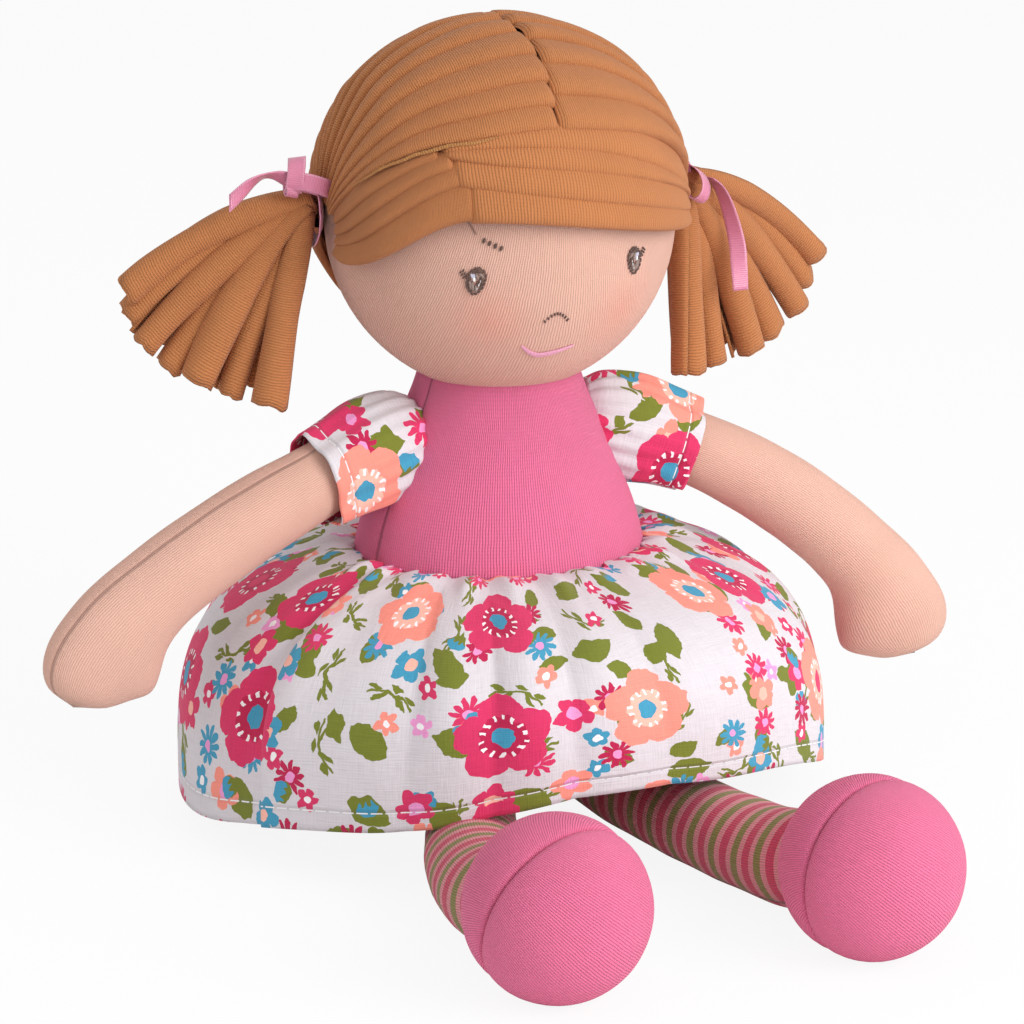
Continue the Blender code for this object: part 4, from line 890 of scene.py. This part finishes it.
def make_flower_group():
    """Scattered five-petalled flowers, daisies, buds, leaves and stems on a pale ground."""
    group, given, result = new_group("flower_print", {"Place": ("Vector", None)}, {"Color": "Color"})
    wobble = node(group, "TexNoise", given["Place"], None, 230, 2, out=1)
    wobble = node(group, "VectorMath", wobble, (0.5, 0.5, 0.5), operation="SUBTRACT")
    wobble = node(group, "VectorMath", wobble, (0.0034, 0.0034, 0), operation="MULTIPLY")
    drawn = node(group, "VectorMath", given["Place"], wobble, operation="ADD")
    drawn = node(group, "VectorMath", drawn, (0.89, 0.89, 1), operation="MULTIPLY")

    def both(a, b):
        return calc(group, "MULTIPLY", a, b)

    def scatter(cell, randomness, shift):
        """The place within each cell of a loose scatter, and three random shares for the cell."""
        moved = node(group, "VectorMath", drawn, (shift, shift * 1.7, 0), operation="ADD")
        cells = group.nodes.new("ShaderNodeTexVoronoi")
        cells.voronoi_dimensions = "2D"
        group.links.new(moved, cells.inputs["Vector"])
        cells.inputs["Scale"].default_value = 1 / cell
        cells.inputs["Randomness"].default_value = randomness
        local = node(group, "VectorMath", moved, cells.outputs["Position"], operation="SUBTRACT")
        lots = split(group, cells.outputs["Color"], "Color")
        turned = group.nodes.new("ShaderNodeVectorRotate")
        turned.rotation_type = "Z_AXIS"
        group.links.new(local, turned.inputs["Vector"])
        group.links.new(both(lots[1], 6.283), turned.inputs["Angle"])
        local = turned.outputs[0]
        parts = split(group, local)
        away = node(group, "VectorMath", local, out=1, operation="LENGTH")
        round_angle = calc(group, "ARCTAN2", parts[1], parts[0])
        return parts, away, round_angle, lots

    def petals(away, angle, count, radius, waist, power=1.0):
        """A mask of petals: waist is the share of the radius between two petals."""
        lobe = calc(group, "ABSOLUTE", calc(group, "COSINE", both(angle, count / 2)))
        lobe = calc(group, "POWER", lobe, power)
        edge = calc(group, "MULTIPLY_ADD", lobe, radius * (1 - waist), radius * waist)
        return calc(group, "LESS_THAN", away, edge)

    def chosen(share, *stops):
        """A colour of the print by a random share."""
        if len(stops) == 1:
            return PRINT[stops[0][1]]
        return colour_steps(group, share, [(at, PRINT[colour]) for at, colour in stops])

    def within(away, reach):
        return calc(group, "LESS_THAN", away, reach)

    def ring_dots(away, angle, radius, half, count):
        near = within(calc(group, "ABSOLUTE", calc(group, "SUBTRACT", away, radius)), half)
        return both(near, calc(group, "GREATER_THAN", calc(group, "COSINE", both(angle, count)), 0.5))

    def leaf(parts, x0, y0, long, wide, lean=0.0):
        """A pointed leaf: long and wide are half its length and half its width."""
        x = calc(group, "SUBTRACT", parts[0], x0)
        y = calc(group, "MULTIPLY_ADD", x, -lean, calc(group, "SUBTRACT", parts[1], y0))
        across = calc(group, "POWER", calc(group, "DIVIDE", x, long), 2)
        edge = both(calc(group, "SUBTRACT", 1, across), wide)
        return within(calc(group, "ABSOLUTE", y), edge)

    parts, away, angle, lots = scatter(19 * MM, 0.3, 0.31)
    bend = both(calc(group, "POWER", parts[0], 2), 55)
    beside = calc(group, "ABSOLUTE", calc(group, "SUBTRACT", parts[1], bend))
    stem = both(within(beside, 0.42 * MM), within(away, 7.6 * MM))
    for x0, y0, lean in STEM_LEAVES:
        stem = calc(group, "MAXIMUM", stem, leaf(parts, x0 * MM, y0 * MM, 2.0 * MM, 0.8 * MM, lean))
    shown = mix(group, both(stem, within(lots[2], 0.5)), PRINT["ground"], PRINT["olive"])
    for cell, shift in ((15, 0.77), (22, 1.43)):
        parts, away, angle, lots = scatter(cell * MM, 0.3, shift)
        mask = leaf(parts, 0, 0, 4.6 * MM * cell / 15, 2.7 * MM * cell / 15, 0.15)
        shown = mix(group, both(mask, within(lots[2], 0.5)), shown, PRINT["olive"])
    for cell, loose, shift, count, radius, waist, power, share, colours, middle, hearts in FLOWER_KINDS:
        parts, away, angle, lots = scatter(cell * MM, loose, shift)
        mask = both(petals(away, angle, count, radius * MM, waist, power), within(lots[2], share))
        shown = mix(group, mask, shown, chosen(lots[0], *colours))
        shown = mix(group, both(mask, within(away, middle * MM)), shown, chosen(lots[1], *hearts))
    parts, away, angle, lots = scatter(23 * MM, 0.25, 5.53)
    bud = both(within(away, 2.9 * MM), within(lots[2], 0.4))
    shown = mix(group, bud, shown, PRINT["blue"])
    teeth = calc(group, "COSINE", both(parts[0], 3400))
    teeth = calc(group, "MULTIPLY_ADD", teeth, 0.7 * MM, 0.4 * MM)
    cap = both(bud, calc(group, "GREATER_THAN", parts[1], teeth))
    shown = mix(group, cap, shown, PRINT["olive"])
    parts, away, angle, lots = scatter(37 * MM, 0.32, 6.91)
    mask = both(petals(away, angle, 5, 12.4 * MM, 0.74, 0.6), within(lots[2], 0.9))
    shown = mix(group, mask, shown, chosen(lots[0], (0, "crimson"), (0.55, "coral")))
    inner = both(petals(away, angle, 8, 6.4 * MM, 0.8), mask)
    shown = mix(group, inner, shown, chosen(lots[0], (0, "deep"), (0.55, "peach")))
    dots = both(ring_dots(away, angle, 5.4 * MM, 0.75 * MM, 14), mask)
    shown = mix(group, dots, shown, PRINT["white"])
    heart = both(within(away, 2.9 * MM), mask)
    shown = mix(group, heart, shown, chosen(lots[1], (0, "blue"), (0.6, "crimson")))
    group.links.new(shown, result["Color"])
    return group


FLOWERS = make_flower_group()


def printed_cotton(name, hem_at, hem_fold=6 * MM):
    """Thin woven cotton with the flower print; its stitched hem lies at a place up its UV map, with painted
    shade in the groove of its fold.
    """
    made, tree = new_cloth(name, 0.85, 0.12)
    place = place_by(tree, "UV")
    parts = split(tree, place)
    weave = []
    for stretch in ((1, 0.06, 1), (0.06, 1, 1)):
        run = tree.nodes.new("ShaderNodeMapping")
        tree.links.new(place, run.inputs["Vector"])
        run.inputs["Scale"].default_value = stretch
        weave.append(node(tree, "TexNoise", run.outputs[0], None, 2100, 1))
    threads = calc(tree, "ADD", *weave)
    flowers = use_group(tree, FLOWERS, Place=place)["Color"]
    light = calc(tree, "MULTIPLY_ADD", threads, 0.16, 0.85)
    shown = shade(tree, flowers, light)
    from_hem = calc(tree, "ABSOLUTE", calc(tree, "SUBTRACT", parts[1], hem_at - hem_fold))
    dash = calc(tree, "LESS_THAN", calc(tree, "FRACT", calc(tree, "DIVIDE", parts[0], 4.4 * MM)), 0.8)
    stitch = calc(tree, "MULTIPLY", dash, calc(tree, "LESS_THAN", from_hem, 0.2 * MM))
    groove_and_shade = fade(tree, calc(tree, "DIVIDE", from_hem, 1.1 * MM))
    # Painted shade along the groove of the hem's fold; the same mask sinks the bump there.
    shown = mix(tree, calc(tree, "MULTIPLY", groove_and_shade, 0.1), shown, (0.3, 0.28, 0.3, 1))
    shown = mix(tree, stitch, shown, srgb(250, 248, 250))
    creases = node(tree, "TexNoise", place, None, 90, 3)
    height = calc(tree, "MULTIPLY_ADD", creases, 2.4, calc(tree, "MULTIPLY", threads, 0.5))
    height = calc(tree, "MULTIPLY_ADD", stitch, 1.2, calc(tree, "MULTIPLY_ADD", groove_and_shade, -1.6, height))
    return finish_cloth(made, shown, height, 0.25 * MM)


WAIST_HEIGHT, WAIST_HALF_WIDTH, WAIST_HALF_DEPTH = 70.5, 39.6, 35.8
HEM_RADIUS, HEM_GIRTH, SKIRT_LENGTH = 88, 600 * MM, 96 * MM


def skirt_place(turn, down):
    """A point by radians round from the front, and down from the waist seam (0) to the hem (1)."""
    bend, degrees_round = down * pi / 2, turn * 180 / pi
    widen, drop = sin(bend) ** 1.12, max(0, cos(bend)) ** 0.58
    hem = 5 + 23.5 * exp(-(((degrees_round - 6) / (51 if degrees_round > 6 else 60)) ** 2))
    soft = noise.noise(Vector((cos(turn) * 2.2, sin(turn) * 2.2, 0.6 * down)))
    swing = 7 * turn + 1.3 * sin(3 * turn + 1) + 1.5 * soft
    deep = min(1, down / 0.12) * (2.6 + 1.6 * sin(pi * down) - 1.6 * down) * (1 + 0.35 * sin(2 * turn + 2))
    fold = deep * (abs(sin(swing)) ** 0.8 - 0.62) + 1.2 * down * cos(5 * turn + 1)
    ripple = 0.7 * sin(pi * min(1, down * 1.05)) * cos(19 * turn + 4 * soft)
    gather = (1 - down) ** 3 * (1.1 * cos(46 * turn + 6 * soft) + 0.6 * cos(31 * turn))
    behind = -65 - degrees_round
    tuck = 4.6 * min(1, max(0, behind / 1.6)) * exp(-((max(0, behind) / 13) ** 2))
    tuck *= sin(pi * min(1, down * 0.9)) ** 0.6
    puff = exp(-(((down - 0.1) / 0.09) ** 2)) * (1.1 + 0.9 * cos(23 * turn + 4 * soft)) if down else 0
    out = fold + ripple + gather - tuck
    wide = WAIST_HALF_WIDTH + (HEM_RADIUS - WAIST_HALF_WIDTH) * widen + out
    deep = WAIST_HALF_DEPTH + (HEM_RADIUS - WAIST_HALF_DEPTH) * widen + out
    height = hem + (WAIST_HEIGHT - hem) * drop + puff + 1.0 * down**3 * cos(7 * turn + 1)
    return Vector((wide * sin(turn), -deep * cos(turn), height)) * MM


steps = [skirt_place(-0.8, i / 200) for i in range(201)]
lengths = [0]
for a, b in zip(steps, steps[1:]):
    lengths.append(lengths[-1] + (b - a).length)
DOWN_BY_LENGTH = [(lengths[i] / lengths[-1], i / 200) for i in (*range(0, 200, 5), 196, 198, 199, 200)]


def skirt_point(u, v):
    return skirt_place(2 * pi * (u - 0.5), min(1, max(0, smooth_row(DOWN_BY_LENGTH, v)[0])))


COTTON_WALL = 0.5 * MM
skirt_cotton = printed_cotton("skirt_cotton", SKIRT_LENGTH)
skirt_chart = plain_chart(HEM_GIRTH, SKIRT_LENGTH)
middle = Vector((0, 0, 20 * MM))
skirt = sew_piece("skirt_cloth", 416, 72, skirt_point, skirt_chart, skirt_cotton, "body", middle)
add_wall(skirt, COTTON_WALL, -1)
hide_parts("skirt")

# Each sleeve is a short tube of the printed cotton, eased into the bodice at the shoulder and
# hemmed at its open end, where the arm comes out.
SLEEVE_TABLE = [
    # share of the way, distance from the shoulder, half height, half thickness
    (0.0, -9, 10.2, 10.4), (0.15, -4, 13.4, 13.2), (0.4, 6, 14.8, 14.2), (0.75, 16.4, 13.5, 13.1),
    (1.0, 23.6, 12.8, 12.5),
]
SLEEVE_GIRTH, SLEEVE_LENGTH = 90 * MM, 36 * MM
sleeve_cotton = printed_cotton("sleeve_cotton", SLEEVE_LENGTH, 5.4 * MM)
for side, sign in SIDES.items():
    def sleeve_point(u, v, side=side, sign=sign):
        distance, tall, thick = smooth_row(SLEEVE_TABLE, v)
        centre, along = arm_place(side, distance)
        turn = 2 * pi * u + pi
        fold = 0.7 * v * cos(5 * turn + sign) + 0.45 * v * cos(8 * turn) + (1 - v) * 0.5 * cos(18 * turn)
        slope = -1.32 * v * cos(turn)
        return around_path(centre + along * slope * MM, along, turn, tall + fold, thick + fold)

    chart = plain_chart(SLEEVE_GIRTH, SLEEVE_LENGTH, 0.31 if side == "left" else 0)
    name, body, middle = "sleeve_" + side + "_cloth", "arm_" + side, arm_place(side, 10)[0]
    sleeve = sew_piece(name, 120, 30, sleeve_point, chart, sleeve_cotton, body, middle)
    add_wall(sleeve, COTTON_WALL, -1)
    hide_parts("sleeve_" + side)

# Each leg is a stocking of jersey knitted in rose and olive stripes, filled with fibre, with a
# seam along its underside. Its root is sewn to the front of the body's base.
LEG_TABLE = [
    # share of the way, distance from the hip, half height, half width
    (0.0, -9.6, 0, 0), (0.05, -7.2, 6.4, 6.4), (0.11, 0, 9.6, 9.6), (0.42, 38.8, 11.1, 11.9),
    (0.6, 60, 11.3, 12.9), (0.75, 77.6, 11.6, 13.4), (0.92, 93, 12.4, 13.4), (1.0, 101, 11.4, 12.2),
]
LEG_BENDS = {
    # distance from the hip, degrees outward, degrees up
    "right": [(0, 23, 0), (38, 20, 1.5), (76, 8, 5), (93.1, -5, 12), (99.3, -9, 15),
              (110.4, -11, 14), (135, -11, 13)],
    "left": [(0, 12, 0), (38.8, 12, 1.5), (77.6, 13, 5), (95.1, 14, 12), (101.3, 15, 15),
             (112.4, 15, 14), (135, 15, 13)],
}
LEG_GIRTH = 74 * MM
leg_places = {}


def leg_way(side, distance):
    splay, lift = (radians(bend) for bend in smooth_row(LEG_BENDS[side], max(0, distance)))
    splay *= SIDES[side]
    return Vector((sin(splay) * cos(lift), -cos(splay) * cos(lift), sin(lift)))


def leg_place(side, distance):
    key = (side, round(distance, 4))
    if key not in leg_places:
        point, steps = Vector((SIDES[side] * 17, -27, 11.2)) * MM, max(1, int(abs(distance) / 3))
        for i in range(steps):
            point = point + leg_way(side, distance * (i + 0.5) / steps) * distance / steps * MM
        leg_places[key] = point, leg_way(side, distance)
    return leg_places[key]


STRIPE = 9.4 * MM
SHIN_SEAM = 0.875 * LEG_GIRTH
ROSE, OLIVE, PALE_ROSE = srgb(206, 66, 96), srgb(136, 126, 64), srgb(222, 140, 146)


def striped_jersey(name):
    """Four bands in each repeat; at the seam the stripes don't meet, since the knit is cut there."""
    made, tree = new_cloth(name, 0.9, 0.25)
    place = place_by(tree, "UV")
    parts = split(tree, place)
    knit = use_group(tree, KNIT, Place=place, Column=0.62 * MM, Loop=0.6 * MM)
    wobble = calc(tree, "MULTIPLY_ADD", node(tree, "TexNoise", place, None, 90, 1), 0.9 * MM, parts[1])
    past = calc(tree, "GREATER_THAN", parts[0], SHIN_SEAM)
    wobble = calc(tree, "MULTIPLY_ADD", past, STRIPE * 0.45, wobble)
    stripe = calc(tree, "FRACT", calc(tree, "DIVIDE", wobble, STRIPE))
    shown = colour_steps(tree, stripe, [(0, ROSE), (0.3, PALE_ROSE), (0.5, OLIVE), (0.78, PALE_ROSE)])
    shown = shade(tree, shown, calc(tree, "MULTIPLY_ADD", knit["Shade"], 0.36, 0.72))
    # The seam's dark colour is painted shade in its groove.
    dark = (0.06, 0.02, 0.02, 1)
    shown, height = sew_seam(tree, parts, SHIN_SEAM, shown, knit["Height"], 0.7, dark)
    return finish_cloth(made, shown, height, 0.22 * MM)


def leg_chart(u, v):
    return u * LEG_GIRTH, smooth_row(LEG_TABLE, v)[0] * MM


stocking_jersey = striped_jersey("striped_jersey")
for side, sign in SIDES.items():
    def leg_point(u, v, side=side):
        distance, tall, thick = smooth_row(LEG_TABLE, v)
        centre, along = leg_place(side, distance)
        turn = 2 * pi * u + pi
        wrinkle = 0.3 * noise.noise(Vector((cos(turn) + 5 * (side == "left"), sin(turn), distance * 0.1)))
        return around_path(centre, along, turn, max(0, tall + wrinkle), max(0, thick + wrinkle))

    name, body = "leg_" + side + "_stocking", "leg_" + side
    leg = sew_piece(name, 40, 64, leg_point, leg_chart, stocking_jersey, body)
    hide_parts("stocking_" + side, "leg_stuffing_" + side, "hip_stitches_" + side)

# Each shoe is a ball of pink jersey in two panels, a toe cap and a heel, filled firmly and sewn
# to the stocking at the ankle. The panels meet in a drawn-in seam.
SHOE_RADIUS = 22.8
SHOE_AHEAD = {"right": 116.1, "left": 118.1}
TOE_WAY = {"right": Vector((0.306, -0.894, -0.318)), "left": Vector((0.302, -0.951, -0.036))}
# Degrees from the toe to the seam, and the share of a panel up to there; the rest is turned in.
SEAM_POLAR, PANEL_SHARE = 92, 0.9
shoe_jersey = jersey("shoe_jersey", srgb(231, 114, 153), 0.72 * MM, 0.78 * MM, 0.25 * MM)
for side, sign in SIDES.items():
    middle = leg_place(side, SHOE_AHEAD[side])[0]
    axis = TOE_WAY[side].normalized()
    across = axis.cross(Vector((0, 0, 1))).normalized()
    upward = across.cross(axis)
    for name, start, end in (("toe", 0, SEAM_POLAR), ("heel", 180, SEAM_POLAR)):
        def shoe_point(u, v, start=start, end=end):
            share = min(1, v / PANEL_SHARE)
            polar = radians(start + (end - start) * share)
            edge = exp(-(((share - 1) / 0.02) ** 2))
            radius = SHOE_RADIUS - 0.8 * edge - 0.35 * exp(-(((share - 1) / 0.1) ** 2))
            if v > PANEL_SHARE:
                radius *= (1 - v) / (1 - PANEL_SHARE)
            turn = 2 * pi * u
            if v < PANEL_SHARE:
                dent = noise.noise(Vector((cos(turn) * 2, sin(turn) * 2, polar * 2)))
                radius += 0.15 * dent * sin(polar)
            ring = (across * cos(turn) + upward * sin(turn)) * sin(polar)
            point = middle + (ring + axis * cos(polar)) * radius * MM
            return Vector((point.x, point.y, max(0, point.z)))

        def shoe_chart(u, v, start=start, end=end):
            reach = radians(abs(end - start) * min(1, v / PANEL_SHARE)) * SHOE_RADIUS * MM
            turn = 2 * pi * u + radians(50)
            return 1 + reach * cos(turn), 1 + reach * sin(turn)

        panel_name = "shoe_" + name + "_" + side
        body = "leg_" + side
        panel = sew_piece(panel_name + "_jersey", 64, 48, shoe_point, shoe_chart, shoe_jersey, body)
        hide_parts(panel_name)
